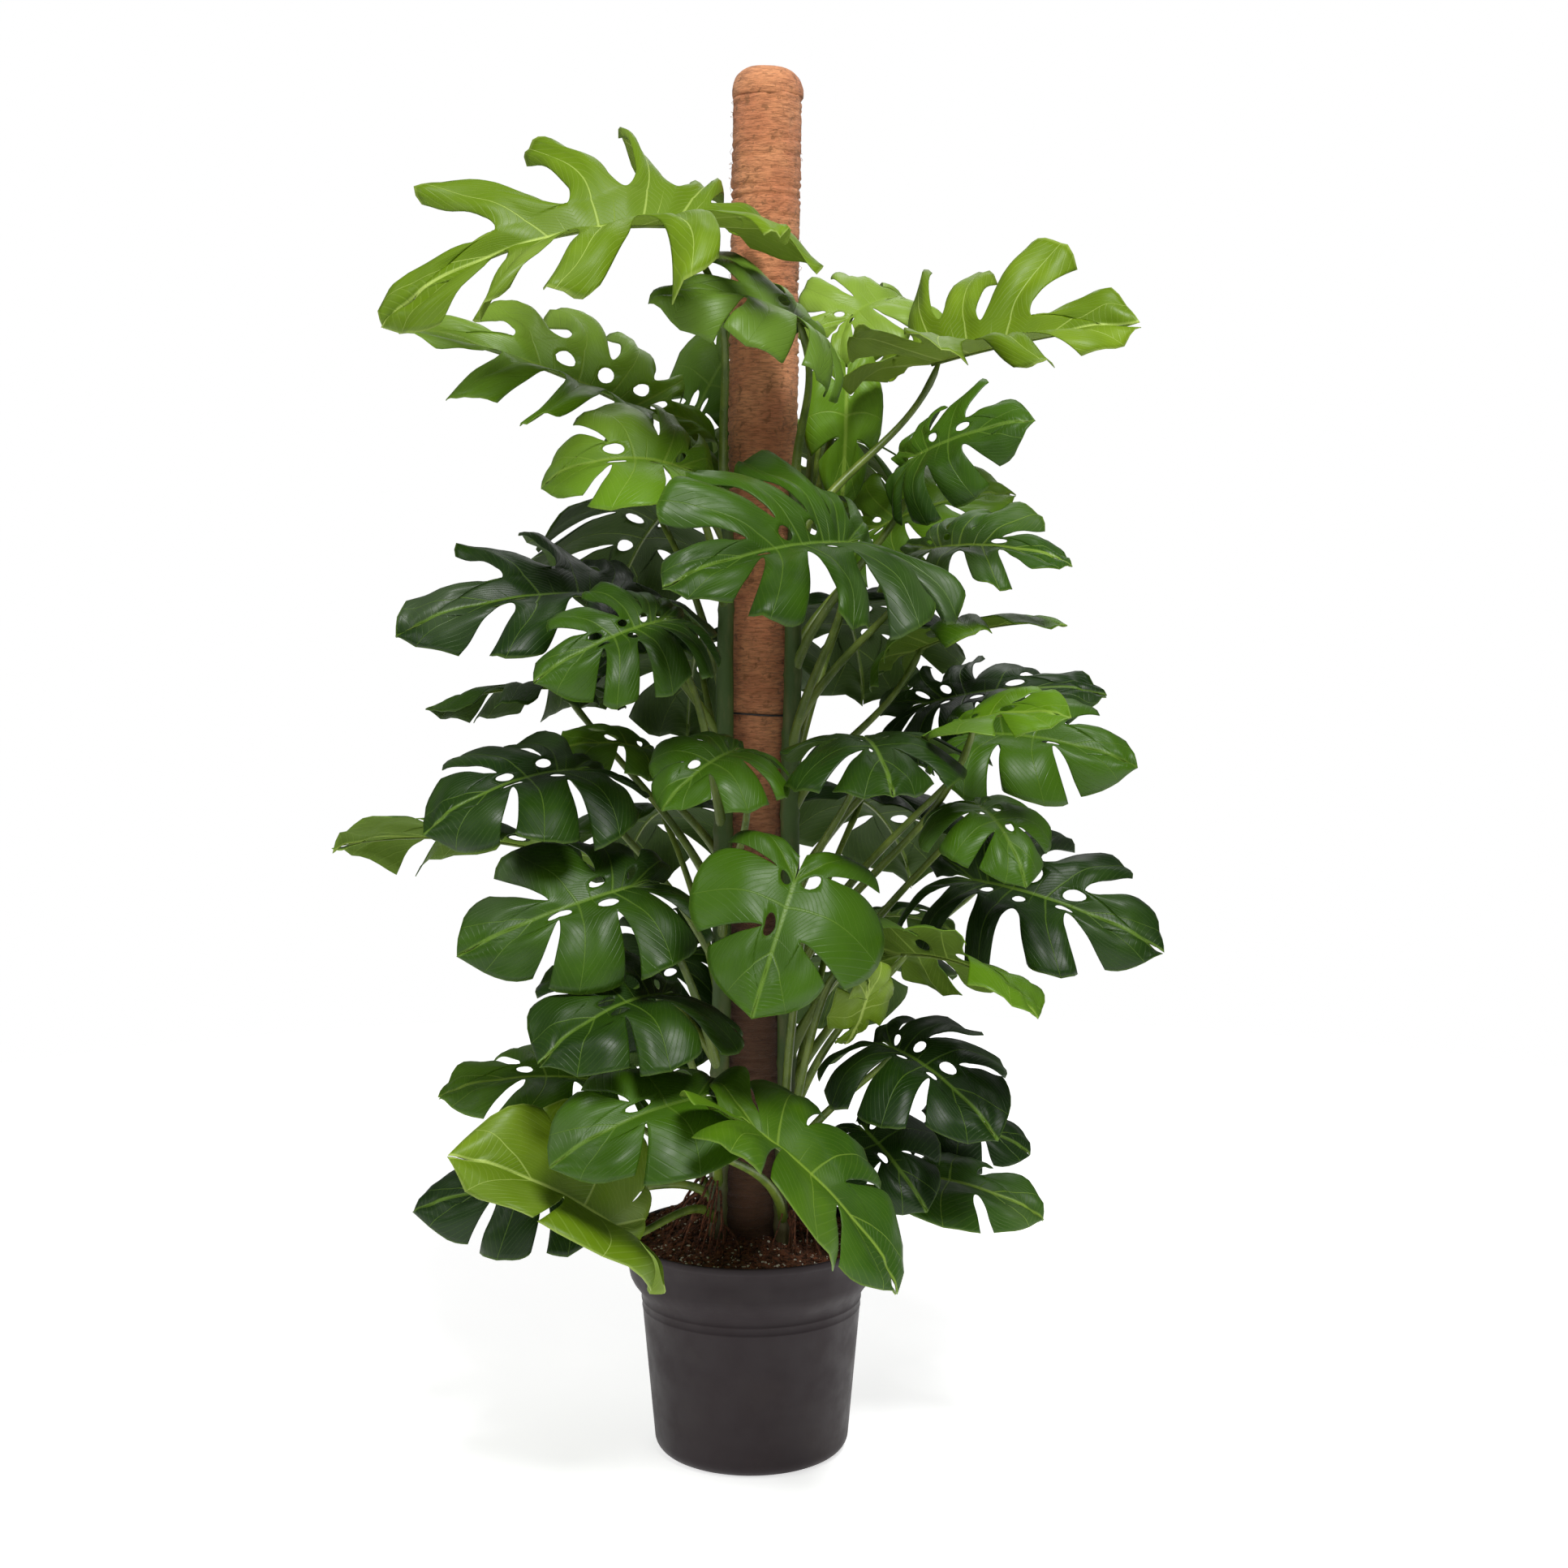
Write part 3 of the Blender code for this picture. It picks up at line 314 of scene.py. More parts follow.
def vein_base(t):
    """Where on the midrib the side vein of outline place t leaves it."""
    share = max(0.0, (t - VEIN_START) / (1.0 - VEIN_START))
    return VEIN_END * share ** 1.5


class BladePlan:
    """The cuts and lobes of one blade, drawn from the leaf's own seed."""

    def __init__(self, leaf):
        draw = Random(leaf.name)
        count = leaf.lobes
        first = 0.45 - 0.02 * count
        last = 0.66 + 0.035 * count
        inner = [first + k * (last - first) / (count - 2) for k in range(count - 1)]
        self.leaf = leaf
        self.bounds = [0.0] + inner + [1.0]
        self.sides = {}
        for side in (-1, 1):
            shift = [0.0] + [draw.uniform(*CUT_SHIFT) for _ in inner] + [0.0]
            depth = [SINUS_DEPTH] + [draw.uniform(*CUT_DEPTH) for _ in inner] + [TIP_DEPTH]
            gap = [0.0] + [leaf.cut * draw.uniform(*CUT_WIDTH) for _ in inner] + [0.0]
            droop = [draw.uniform(*LOBE_DROOP) for _ in range(count)]
            twist = [draw.uniform(*LOBE_TWIST) for _ in range(count)]
            reach = [draw.uniform(*LOBE_REACH) for _ in range(count)]
            self.sides[side] = (shift, depth, gap, droop, twist, reach)
        self.fold = draw.uniform(*BLADE_FOLD) + leaf.fold
        self.sag = max(0.2, draw.uniform(*BLADE_SAG) - leaf.fold)

    def lobe_end(self, side, lobe, c):
        """How far out the lobe ends at place c across it: a round shoulder, then a point."""
        if lobe == self.leaf.lobes - 1:
            return 1.0 - 0.16 * (1.0 - c) ** 3
        reach = self.sides[side][-1][lobe]
        if c > LOBE_POINT:
            return reach - POINT_DROP * (c - LOBE_POINT) / (1.0 - LOBE_POINT)
        drop = SHOULDER_DROP if lobe > 0 else 0.2 * SHOULDER_DROP
        off = 1.0 - c / LOBE_POINT
        return reach - drop * (1.0 - sqrt(max(0.0, 1.0 - off * off)))

    def flat(self, side, lobe, c, rho):
        """Point of the flat blade: c across the lobe, rho 0 to 1 to its root, 1 to 2 to its end."""
        shift, depth, gap = self.sides[side][:3]
        x = max(0.0, rho - 1.0)
        opening = sqrt(1.0 - (1.0 - min(x / CUT_OPENING, 1.0)) ** 2)
        opening *= 1.0 + CUT_FLARE * x * x
        low = self.bounds[lobe] + shift[lobe] + gap[lobe] * opening
        high = self.bounds[lobe + 1] + shift[lobe + 1] - gap[lobe + 1] * opening
        base = vein_base(self.bounds[lobe] + c * (self.bounds[lobe + 1] - self.bounds[lobe]))
        root = depth[lobe] + c * (depth[lobe + 1] - depth[lobe])
        r = root * min(rho, 1.0) + x * (self.lobe_end(side, lobe, c) - root)
        start = Vector((base, 0.0))
        stop = smooth_margin(low + c * (high - low))
        middle = (start + stop) / 2 - Vector((LOBE_SWEEP * stop.y, 0.0))
        point = (1 - r) ** 2 * start + 2 * r * (1 - r) * middle + r ** 2 * stop
        return Vector((point.x, point.y * self.leaf.width / 1.2))

    def lift(self, side, lobe, c, rho, point):
        """Height of the blade over its flat plane, in shares of its length."""
        droop, twist = self.sides[side][3:5]
        x = max(0.0, rho - 1.0)
        u, v = point
        free = min(1.0, v / FREE_WIDTH)
        height = self.fold * v - self.sag * v * v - BASE_SAG * min(u, 0.0) ** 2
        return height + (twist[lobe] * (c - 0.5) - droop[lobe] * x) * x * free


class BladeFrame:
    """Puts a blade's own (along, across, up) shares into the world, bent along its midrib."""

    def __init__(self, leaf):
        face = Vector(leaf.face)
        self.origin = Vector(leaf.attach)
        chord = Vector(leaf.tip) - self.origin
        self.along = chord.normalized()
        self.normal = (face - face.dot(self.along) * self.along).normalized()
        self.across = self.normal.cross(self.along)
        self.bend = radians(leaf.bend)
        self.roll = radians(leaf.roll)
        self.length = chord.length * (self.bend / 2) / sin(self.bend / 2)

    def world(self, u, v, height):
        start = self.bend / 2
        s = max(u, 0.0)
        angle = start - self.bend * s
        forward = (sin(start) - sin(angle)) / self.bend + min(u, 0.0) * cos(start)
        rise = (cos(angle) - cos(start)) / self.bend + min(u, 0.0) * sin(start)
        turn = self.roll * (min(s, 1.0) - 0.5)
        side = v * cos(turn) - height * sin(turn)
        lifted = v * sin(turn) + height * cos(turn)
        forward -= lifted * sin(angle)
        rise += lifted * cos(angle)
        offset = forward * self.along + rise * self.normal + side * self.across
        return self.origin + self.length * offset


def stem_for(leaf):
    """The stem that stands nearest to the leaf's stalk end, in azimuth."""
    angle = atan2(leaf.attach[1], leaf.attach[0] - pole_lean(leaf.attach[2]))

    def turn(stem):
        return abs(remainder(angle - radians(stem[1]), tau))

    return min(STEMS, key=turn)


def stalk_reach(leaf):
    """Where the stalk enters the blade, and how far that is from its stem, level."""
    attach = BladeFrame(leaf).world(STALK_PLACE, 0.0, 0.0)
    beside = stem_point(stem_for(leaf)[1], attach.z)
    return attach, (attach - beside).to_2d().length


def stalk_feet():
    """Height at which each leaf leaves its stem: long stalks start lower, NODE_SPACING apart."""
    feet = {}
    for stem in STEMS:
        wanted = []
        for leaf in LEAVES:
            if stem_for(leaf) == stem:
                attach, reach = stalk_reach(leaf)
                rise = STALK_RISE + RISE_PER_REACH * max(0.0, reach - NEAR_REACH)
                wanted.append((min(attach.z - rise, stem[2] - 0.012), leaf.name))
        wanted.sort(reverse=True)
        heights = []
        for height, _ in wanted:
            heights.append(min(height, heights[-1] - NODE_SPACING) if heights else height)
        floor = SOIL_CROWN + 0.018
        for i in reversed(range(len(heights))):
            heights[i] = max(heights[i], floor)
            floor = heights[i] + NODE_SPACING
        feet.update({name: height for height, (_, name) in zip(heights, wanted)})
    return feet


def stalk_path(leaf, foot_height, count):
    """Centre line of the stalk, from its stem up into the blade beside the sinus."""
    placing = BladeFrame(leaf)
    attach, _ = stalk_reach(leaf)
    foot = stem_point(stem_for(leaf)[1], foot_height)
    outward = attach - foot
    outward.z = 0.0
    outward.normalize()
    up = Vector((0.0, 0.0, 1.0))
    arrive = (0.55 * placing.along + 0.6 * placing.normal + 0.35 * up).normalized()
    pull = STALK_PULL * (attach - foot).length
    leave = (0.45 * outward + 0.9 * up).normalized()
    first = foot + pull * leave
    second = attach - pull * arrive
    path = []
    for i in range(count):
        t = i / (count - 1)
        low = (1 - t) ** 3 * foot + 3 * t * (1 - t) ** 2 * first
        path.append(low + 3 * t * t * (1 - t) * second + t ** 3 * attach)
    return path


# Materials

class Look:
    """Node helpers for one Principled material; a colour is a socket or red, green and blue."""

    def __init__(self, name, roughness, **values):
        self.material = bpy.data.materials.new(name)
        self.material.use_nodes = True
        self.tree = self.material.node_tree
        self.shader = self.tree.nodes["Principled BSDF"]
        self.shader.inputs["Roughness"].default_value = roughness
        for key, value in values.items():
            self.shader.inputs[key.replace("_", " ")].default_value = value

    def node(self, kind, inputs, **settings):
        """A node with its settings; an input given as a socket is linked, else it is a value."""
        made = self.tree.nodes.new(kind)
        for key, value in settings.items():
            setattr(made, key, value)
        for key, value in inputs.items():
            socket = made.inputs[key]
            if isinstance(value, bpy.types.NodeSocket):
                self.tree.links.new(value, socket)
            else:
                socket.default_value = (*value, 1.0) if socket.type == "RGBA" else value
        return made

    def math(self, operation, a, b=0.0):
        return self.node("ShaderNodeMath", {0: a, 1: b}, operation=operation).outputs[0]

    def plus(self, a, b):
        return self.math("ADD", a, b)

    def times(self, a, b):
        return self.math("MULTIPLY", a, b)

    def away(self, value, middle):
        """Distance of a value from a middle."""
        return self.math("ABSOLUTE", self.math("SUBTRACT", value, middle))

    def smooth(self, value, low, high, to_low=0.0, to_high=1.0):
        """Smooth step from to_low to to_high as value goes from low to high."""
        inputs = {0: value, 1: low, 2: high, 3: to_low, 4: to_high}
        return self.node("ShaderNodeMapRange", inputs, interpolation_type="SMOOTHSTEP").outputs[0]

    def mix(self, factor, a, b):
        return self.node("ShaderNodeMix", {0: factor, 6: a, 7: b}, data_type="RGBA").outputs[2]

    def place(self):
        return self.node("ShaderNodeTexCoord", {}).outputs["Object"]

    def noise(self, scale, detail=3.0, stretch=None, roughness=0.55):
        """Cloudy noise of a scale per metre, drawn out along an axis by a small stretch value."""
        vector = self.place()
        if stretch:
            vector = self.node("ShaderNodeMapping", {"Vector": vector, "Scale": stretch}).outputs[0]
        inputs = {"Vector": vector, "Scale": scale, "Detail": detail, "Roughness": roughness}
        return self.node("ShaderNodeTexNoise", inputs).outputs["Fac"]

    def parts(self, vector):
        return self.node("ShaderNodeSeparateXYZ", {"Vector": vector}).outputs

    def attribute(self, name):
        """The three values that the mesh carries at each corner under a name."""
        made = self.node("ShaderNodeAttribute", {}, attribute_name=name)
        return self.parts(made.outputs["Vector"])

    def finish(self, colour, relief=None, strength=0.0, distance=0.0, roughness=None):
        """Links the colour, a bump made from the relief, and the roughness to the shader."""
        normal = None
        if relief is not None:
            inputs = {"Height": relief, "Strength": strength, "Distance": distance}
            normal = self.node("ShaderNodeBump", inputs).outputs[0]
        for name, made in (("Base Color", colour), ("Normal", normal), ("Roughness", roughness)):
            if made is not None:
                self.tree.links.new(made, self.shader.inputs[name])
        return self.material


def leaf_pattern(look):
    """Masks of the side veins, the fine veins, the midrib and the rim, and how pale the place is,
    with its painted shade near the pole, from the values that the blade carries."""
    across, width, along = look.attribute("lobe")
    from_midrib, _, paleness_and_painted_shade = look.attribute("rib")
    main = look.away(across, LOBE_VEIN)
    second = look.plus(look.away(across, SECOND_VEIN), 0.02)
    side = look.times(look.math("MINIMUM", main, second), width)
    half = look.smooth(along, 0.0, 2.0, 0.0011, 0.0003)
    vein = look.smooth(look.math("DIVIDE", side, half), 0.5, 1.7, 1.0, 0.0)
    run = look.times(look.plus(along, look.times(main, 1.3)), 46.0)
    fine = look.smooth(look.math("SINE", run), 0.72, 1.0)
    midrib = look.smooth(from_midrib, 0.001, 0.003, 1.0, 0.0)
    rim = look.smooth(along, 1.965, 1.995)
    return vein, fine, midrib, rim, paleness_and_painted_shade


def leaf_top(name, deep, light, pale, roughness):
    """Upper side: patches of deep and light green, darker near the pole by painted shade, paler
    grey-green patches that are partly a painted sheen, and pale veins and rim.
    """
    look = Look(name, roughness, Specular_IOR_Level=0.25)
    vein, fine, midrib, rim, paleness_and_painted_shade = leaf_pattern(look)
    # The share of light green falls near the pole: painted shade of the plant's inside
    share = look.plus(look.times(look.noise(9.0), 0.8), look.times(paleness_and_painted_shade, 0.6))
    base = look.mix(look.smooth(share, 0.42, 0.98), deep, light)
    base = look.mix(look.smooth(paleness_and_painted_shade, 1.0, 1.9, 0.0, 0.9), base, pale)
    # Paler grey-green patches: the leaf's waxy film, and partly a painted sheen
    bloom_and_sheen = look.smooth(look.noise(6.0, 2.0), 0.54, 0.74, 0.0, 0.6)
    base = look.mix(bloom_and_sheen, base, [0.5 * value + 0.045 for value in light])
    for mask, cover in ((fine, 0.08), (vein, 0.5), (rim, 0.35), (midrib, 0.8)):
        base = look.mix(look.times(mask, cover), base, pale)
    relief = look.plus(look.times(fine, -0.5), look.times(look.noise(700.0, 2.0), 0.25))
    relief = look.math("SUBTRACT", relief, vein)
    uneven = look.smooth(look.noise(45.0), 0.2, 0.8, roughness - 0.05, roughness + 0.12)
    return look.finish(base, relief, 0.5, 0.0006, uneven)


def leaf_under(name, green, pale):
    """Underside: paler and duller, with raised veins."""
    look = Look(name, 0.6, Specular_IOR_Level=0.18)
    vein, fine, midrib, _, _ = leaf_pattern(look)
    darker = [0.72 * value for value in green]
    base = look.mix(look.smooth(look.noise(14.0), 0.3, 0.8), green, darker)
    for mask, cover in ((fine, 0.14), (vein, 0.8), (midrib, 1.0)):
        base = look.mix(look.times(mask, cover), base, pale)
    return look.finish(base, look.plus(vein, look.times(fine, 0.4)), 0.6, 0.0007)


def stalk_green():
    look = Look("stalk_green", 0.42)
    streaks = look.smooth(look.noise(60.0, 3.0, (1.0, 1.0, 0.12)), 0.3, 0.75)
    base = look.mix(streaks, (0.08, 0.13, 0.012), (0.175, 0.24, 0.03))
    flecks = look.smooth(look.noise(420.0, 2.0), 0.62, 0.72, 0.0, 0.5)
    base = look.mix(flecks, base, (0.24, 0.34, 0.14))
    return look.finish(base, look.noise(300.0, 2.0), 0.25, 0.0004)


def stem_bark():
    """Green above, brown and corky near the soil."""
    look = Look("stem_bark", 0.6)
    height = look.parts(look.place())[2]
    young = look.smooth(look.plus(height, look.times(look.noise(18.0), 0.3)), 0.32, 0.62)
    base = look.mix(young, (0.08, 0.06, 0.022), (0.048, 0.092, 0.014))
    streaks = look.noise(90.0, 4.0, (1.0, 1.0, 0.2))
    base = look.mix(look.smooth(streaks, 0.45, 0.75, 0.0, 0.5), base, (0.15, 0.14, 0.05))
    relief = look.plus(streaks, look.times(look.noise(400.0), 0.4))
    return look.finish(base, relief, 0.6, 0.001)


def coir_fibre():
    """Orange-brown fibres with dark gaps and pale strands, with painted shade towards the soil."""
    look = Look("coir_fibre", 0.92, Sheen_Weight=0.15)
    fibres = look.noise(260.0, 6.0, (0.35, 0.35, 2.2), 0.7)
    strands = look.noise(700.0, 4.0, (0.25, 0.25, 3.0), 0.7)
    patches = look.noise(22.0)
    # Height over which the pole is out of the painted shade, uneven by patches
    out_of_shade = look.plus(look.parts(look.place())[2], look.times(patches, 0.2))
    base = look.mix(look.smooth(patches, 0.3, 0.7), (0.62, 0.225, 0.095), (0.78, 0.335, 0.145))
    for mask, colour in (
        (look.smooth(fibres, 0.35, 0.6, 0.7, 0.0), (0.24, 0.085, 0.03)),
        (look.smooth(look.noise(130.0), 0.57, 0.68, 0.0, 0.75), (0.25, 0.1, 0.035)),
        (look.smooth(strands, 0.58, 0.75, 0.0, 0.6), (0.78, 0.46, 0.24)),
        # Painted shade: the coir goes near black lower down the pole, as if shaded by the leaves
        (look.smooth(out_of_shade, 0.62, 0.95, 0.92, 0.0), (0.05, 0.022, 0.01)),
    ):
        base = look.mix(mask, base, colour)
    relief = look.plus(fibres, look.times(strands, 0.6))
    return look.finish(base, relief, 0.9, 0.0016)


def pot_plastic():
    """Dark plastic with dust and fine upright scuffs."""
    look = Look("pot_plastic", 0.5, Specular_IOR_Level=0.22)
    dust = look.smooth(look.noise(16.0, 5.0), 0.45, 0.8, 0.0, 0.5)
    base = look.mix(dust, (0.02, 0.013, 0.015), (0.032, 0.023, 0.022))
    relief = look.plus(look.noise(900.0, 2.0), look.noise(240.0, 4.0, (1.0, 1.0, 0.15)))
    uneven = look.smooth(look.noise(30.0, 4.0), 0.25, 0.75, 0.42, 0.62)
    return look.finish(base, relief, 0.12, 0.0004, uneven)


def soil_crumb():
    look = Look("soil_crumb", 0.95)
    lumps = look.noise(170.0, 6.0)
    base = look.mix(look.smooth(lumps, 0.3, 0.7), (0.024, 0.009, 0.003), (0.175, 0.054, 0.021))
    bits = look.smooth(look.noise(380.0), 0.6, 0.68, 0.0, 0.8)
    base = look.mix(bits, base, (0.23, 0.095, 0.045))
    return look.finish(base, lumps, 1.0, 0.003)


def perlite():
    look = Look("perlite", 0.9)
    grain = look.noise(900.0)
    base = look.mix(look.smooth(grain, 0.3, 0.7), (0.42, 0.36, 0.28), (0.78, 0.72, 0.62))
    return look.finish(base, grain, 0.7, 0.0006)


def wire_coating():
    look = Look("wire_coating", 0.45)
    grain = look.noise(600.0)
    base = look.mix(grain, (0.012, 0.012, 0.012), (0.035, 0.03, 0.025))
    return look.finish(base, grain, 0.3, 0.0003)


def floor_white():
    look = Look("floor_white", 0.9, Specular_IOR_Level=0.1, Emission_Strength=FLOOR_GLOW)
    look.shader.inputs["Emission Color"].default_value = (1.0, 1.0, 1.0, 1.0)
    return look.finish(look.mix(look.noise(3.0, 2.0), (0.86, 0.86, 0.86), (0.88, 0.88, 0.88)))


# Meshes

def bridge(bm, low, high):
    """Faces between two rings of points, the lower one first."""
    made = []
    for k in range(len(low)):
        after = (k + 1) % len(low)
        made.append(bm.faces.new((low[k], low[after], high[after], high[k])))
    return made


def add_tube(bm, points, radii, sides, slot=0):
    """Sweeps a capped round tube through the points."""
    side = (points[1] - points[0]).orthogonal().normalized()
    rings = []
    for i, (point, radius) in enumerate(zip(points, radii)):
        ahead = (points[min(i + 1, len(points) - 1)] - points[max(i - 1, 0)]).normalized()
        side = (side - side.dot(ahead) * ahead).normalized()
        other = ahead.cross(side)
        turns = [tau * k / sides for k in range(sides)]
        outs = [cos(angle) * side + sin(angle) * other for angle in turns]
        rings.append([bm.verts.new(point + radius * out) for out in outs])
    faces = [bm.faces.new(rings[0][::-1]), bm.faces.new(rings[-1])]
    for low, high in zip(rings, rings[1:]):
        faces += bridge(bm, low, high)
    for made in faces:
        made.smooth = True
        made.material_index = slot


def add_turned(bm, rings, steps, closed=False):
    """Joins rings into a skin, from the top down outside; a ring gives a point for an angle."""
    rows = []
    for ring in rings:
        rows.append([bm.verts.new(ring(tau * k / steps)) for k in range(steps)])
    pairs = list(zip(rows, rows[1:]))
    if closed:
        pairs.append((rows[-1], rows[0]))
    else:
        bm.faces.new(rows[0])
        bm.faces.new(rows[-1][::-1])
    for high, low in pairs:
        bridge(bm, low, high)
    for made in bm.faces:
        made.smooth = True


def round_ring(radius, z, x=0.0):
    return lambda angle: around(radius, angle, z, x)


def add_object(name, data):
    obj = bpy.data.objects.new(name, data)
    bpy.context.scene.collection.objects.link(obj)
    return obj


def add_mesh(name, bm):
    mesh = bpy.data.meshes.new(name)
    bm.to_mesh(mesh)
    bm.free()
    return add_object(name, mesh)


def baked(obj):
    """The object's mesh with its modifiers applied; the object goes."""
    bm = bmesh.new()
    bm.from_object(obj, bpy.context.evaluated_depsgraph_get())
    bpy.data.objects.remove(obj, do_unlink=True)
    return bm


def place_piece(name, bm, materials, slot, *nodes):
    """Puts a finished piece on the part's body, in place of its nodes."""
    obj = add_mesh(name, bm)
    for material in materials:
        obj.data.materials.append(material)
    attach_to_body(obj, "root")
    if nodes:
        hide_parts(*nodes)
    return obj


# Leaves

def rows_of_lobe():
    """Places from the midrib (0) over the root (1) to the margin (2), close where a cut starts."""
    near = OUTER_ROWS // 2
    far = OUTER_ROWS - near
    rows = [k / INNER_ROWS for k in range(INNER_ROWS)]
    rows += [1.0 + CUT_OPENING * (1.0 - cos(pi / 2 * k / near)) for k in range(near)]
    return rows + [1.0 + CUT_OPENING + (1.0 - CUT_OPENING) * k / far for k in range(far + 1)]


def columns_of_lobe(lobe):
    """Places across a lobe, close at its two edges, with one on its main vein."""
    count = LOBE_COLUMNS * (2 if lobe == 0 else 1)
    right = round(0.4 * count)
    left = count - right
    rest = 1.0 - LOBE_VEIN
    columns = [LOBE_VEIN * (1.0 - cos(pi / 2 * j / left)) for j in range(left)]
    return columns + [LOBE_VEIN + rest * sin(pi / 2 * j / right) for j in range(right + 1)]


def holes_of(leaf):
    """Oval holes beside the midrib, between two side veins: (place, half width, half length)."""
    draw = Random(leaf.name + "_holes")
    holes = {}
    for side in (-1, 1):
        for bound in range(1, leaf.lobes):
            hole = [draw.uniform(*limits) for limits in HOLE_RANGES]
            if draw.random() < HOLE_CHANCE and leaf.tone != "young":
                holes[side, bound] = hole
    return holes


def holes_near(holes, side, lobe):
    """The holes that cut into one lobe: (the edge it sits on, place, half width, half length)."""
    near = []
    for bound, edge in ((lobe, 0.0), (lobe + 1, 1.0)):
        if (side, bound) in holes:
            middle, wide, long = holes[side, bound]
            near.append((edge, middle, wide / 2 if lobe == 0 else wide, long))
    return near


def hole_distance(c, rho, hole):
    """How far a place is from a hole's middle: 1 is on its rim."""
    edge, middle, wide, long = hole
    return hypot((c - edge) / wide, (rho - middle) / long)


def on_rim(c, rho, near):
    """Moves a place on to the rim of the hole nearest to it."""
    distance, (edge, middle, _, _) = min((hole_distance(c, rho, hole), hole) for hole in near)
    distance = max(0.01, distance)
    return edge + (c - edge) / distance, middle + (rho - middle) / distance


def lobe_cells(columns, rows, near):
    """The cells of a lobe's grid that stay, and the corners that lie on the rim of a hole."""
    kept = []
    rim = set()
    for j in range(len(columns) - 1):
        for k in range(len(rows) - 1):
            middle = ((columns[j] + columns[j + 1]) / 2, (rows[k] + rows[k + 1]) / 2)
            if any(hole_distance(*middle, hole) < 1.0 for hole in near):
                rim.update(((j, k), (j + 1, k), (j + 1, k + 1), (j, k + 1)))
            else:
                kept.append((j, k))
    return kept, rim


def pleat(c, rho):
    """Rise of the blade between its side veins, and the droop of a lobe's two edges."""
    side = LOBE_VEIN if c < LOBE_VEIN else 1.0 - LOBE_VEIN
    reach = abs(c - LOBE_VEIN) / side
    x = max(0.0, rho - 1.0)
    free = min(1.0, x / CUT_OPENING)
    whole = sin(pi / 2 * reach) ** 2
    split = 0.8 * sin(pi * reach) - EDGE_DROP / PLEAT * x * reach ** 2
    return PLEAT * min(1.0, 1.5 * rho) * (whole * (1.0 - free) + split * free)


def paleness_and_painted_shade(leaf, tint, place):
    """How pale the blade is at a place, from the leaf's own tint and the height, with painted
    shade that darkens it near the pole.
    """
    out = min(1.0, max(0.0, (place.to_2d().length - PAINTED_SHADE_START) / PAINTED_SHADE_WIDTH))
    rise = 0.0 if leaf.tone == "young" else YOUTH_RISE
    # Painted shade: the tint is cut near the pole, where the inside of the plant is in shade
    pale = tint * (POLE_PAINTED_SHADE + (1.0 - POLE_PAINTED_SHADE) * out)
    return pale + rise * max(0.0, place.z - YOUTH_START) - AGE_FALL * max(0.0, AGE_START - place.z)


def add_lobe(bm, layers, plan, side, lobe, holes):
    """Adds one lobe's grid of faces, each corner with its values for the leaf materials."""
    leaf = plan.leaf
    placing = BladeFrame(leaf)
    seed = 10.0 * int(leaf.name[-2:])
    tint = Random(leaf.name + "_tint").random()
    columns = columns_of_lobe(lobe)
    rows = rows_of_lobe()
    near = holes_near(holes, side, lobe)
    kept, rim = lobe_cells(columns, rows, near)
    ends = [[plan.flat(side, lobe, c, rho) for c in (0.0, 1.0)] for rho in rows]
    widths = [(right - left).length * placing.length for left, right in ends]
    grid = {}

    def corner(j, k):
        if (j, k) not in grid:
            c, rho = columns[j], rows[k]
            if (j, k) in rim:
                c, rho = on_rim(c, rho, near)
            x = max(0.0, rho - 1.0)
            point = plan.flat(side, lobe, c, rho)
            groove = GROOVE_DEPTH * swell(c * widths[k], LOBE_VEIN * widths[k], GROOVE_WIDTH)
            spot = Vector((2.2 * c + 3.0 * lobe, 2.0 * x, seed + side))
            height = plan.lift(side, lobe, c, rho, point) + pleat(c, rho)
            height += MARGIN_WAVE * x * noise(spot)
            height -= groove * min(1.0, rho) / placing.length
            vertex = bm.verts.new(placing.world(point.x, side * point.y, height))
            rib = (point.y * placing.length, point.x, paleness_and_painted_shade(leaf, tint, vertex.co))
            grid[j, k] = (vertex, (c, widths[k], rho), rib)
        return grid[j, k]

    for j, k in kept:
        corners = [corner(j, k), corner(j + 1, k), corner(j + 1, k + 1), corner(j, k + 1)]
        if side < 0:
            corners.reverse()
        face = bm.faces.new([each[0] for each in corners])
        face.smooth = True
        for loop, (_, place, rib) in zip(face.loops, corners):
            loop[layers[0]] = place
            loop[layers[1]] = rib


def blade_sheet(leaf):
    """The blade as one open sheet, with each corner's place on its lobe."""
    bm = bmesh.new()
    layers = [bm.loops.layers.float_vector.new(name) for name in ("lobe", "rib")]
    plan = BladePlan(leaf)
    holes = holes_of(leaf)
    for side in (-1, 1):
        for lobe in range(leaf.lobes):
            add_lobe(bm, layers, plan, side, lobe, holes)
    bmesh.ops.remove_doubles(bm, verts=bm.verts, dist=0.00005)
    bmesh.ops.dissolve_degenerate(bm, edges=bm.edges, dist=0.00002)
    return add_mesh(leaf.name + "_sheet", bm)


def add_stalk(bm, leaf, foot_height):
    """The stalk, wider at its foot and at the knee under the blade."""
    radii = []
    for i in range(STALK_STATIONS):
        t = i / (STALK_STATIONS - 1)
        radius = STALK_BASE_RADIUS + (STALK_TOP_RADIUS - STALK_BASE_RADIUS) * min(1.0, 1.4 * t)
        radius *= 1.0 + 0.3 * swell(t, 0.0, 0.05) + 0.16 * swell(t, 0.9, 0.035)
        radii.append(radius if t < 0.97 else 0.55 * radius)
    add_tube(bm, stalk_path(leaf, foot_height, STALK_STATIONS), radii, 10, STALK_SLOT)


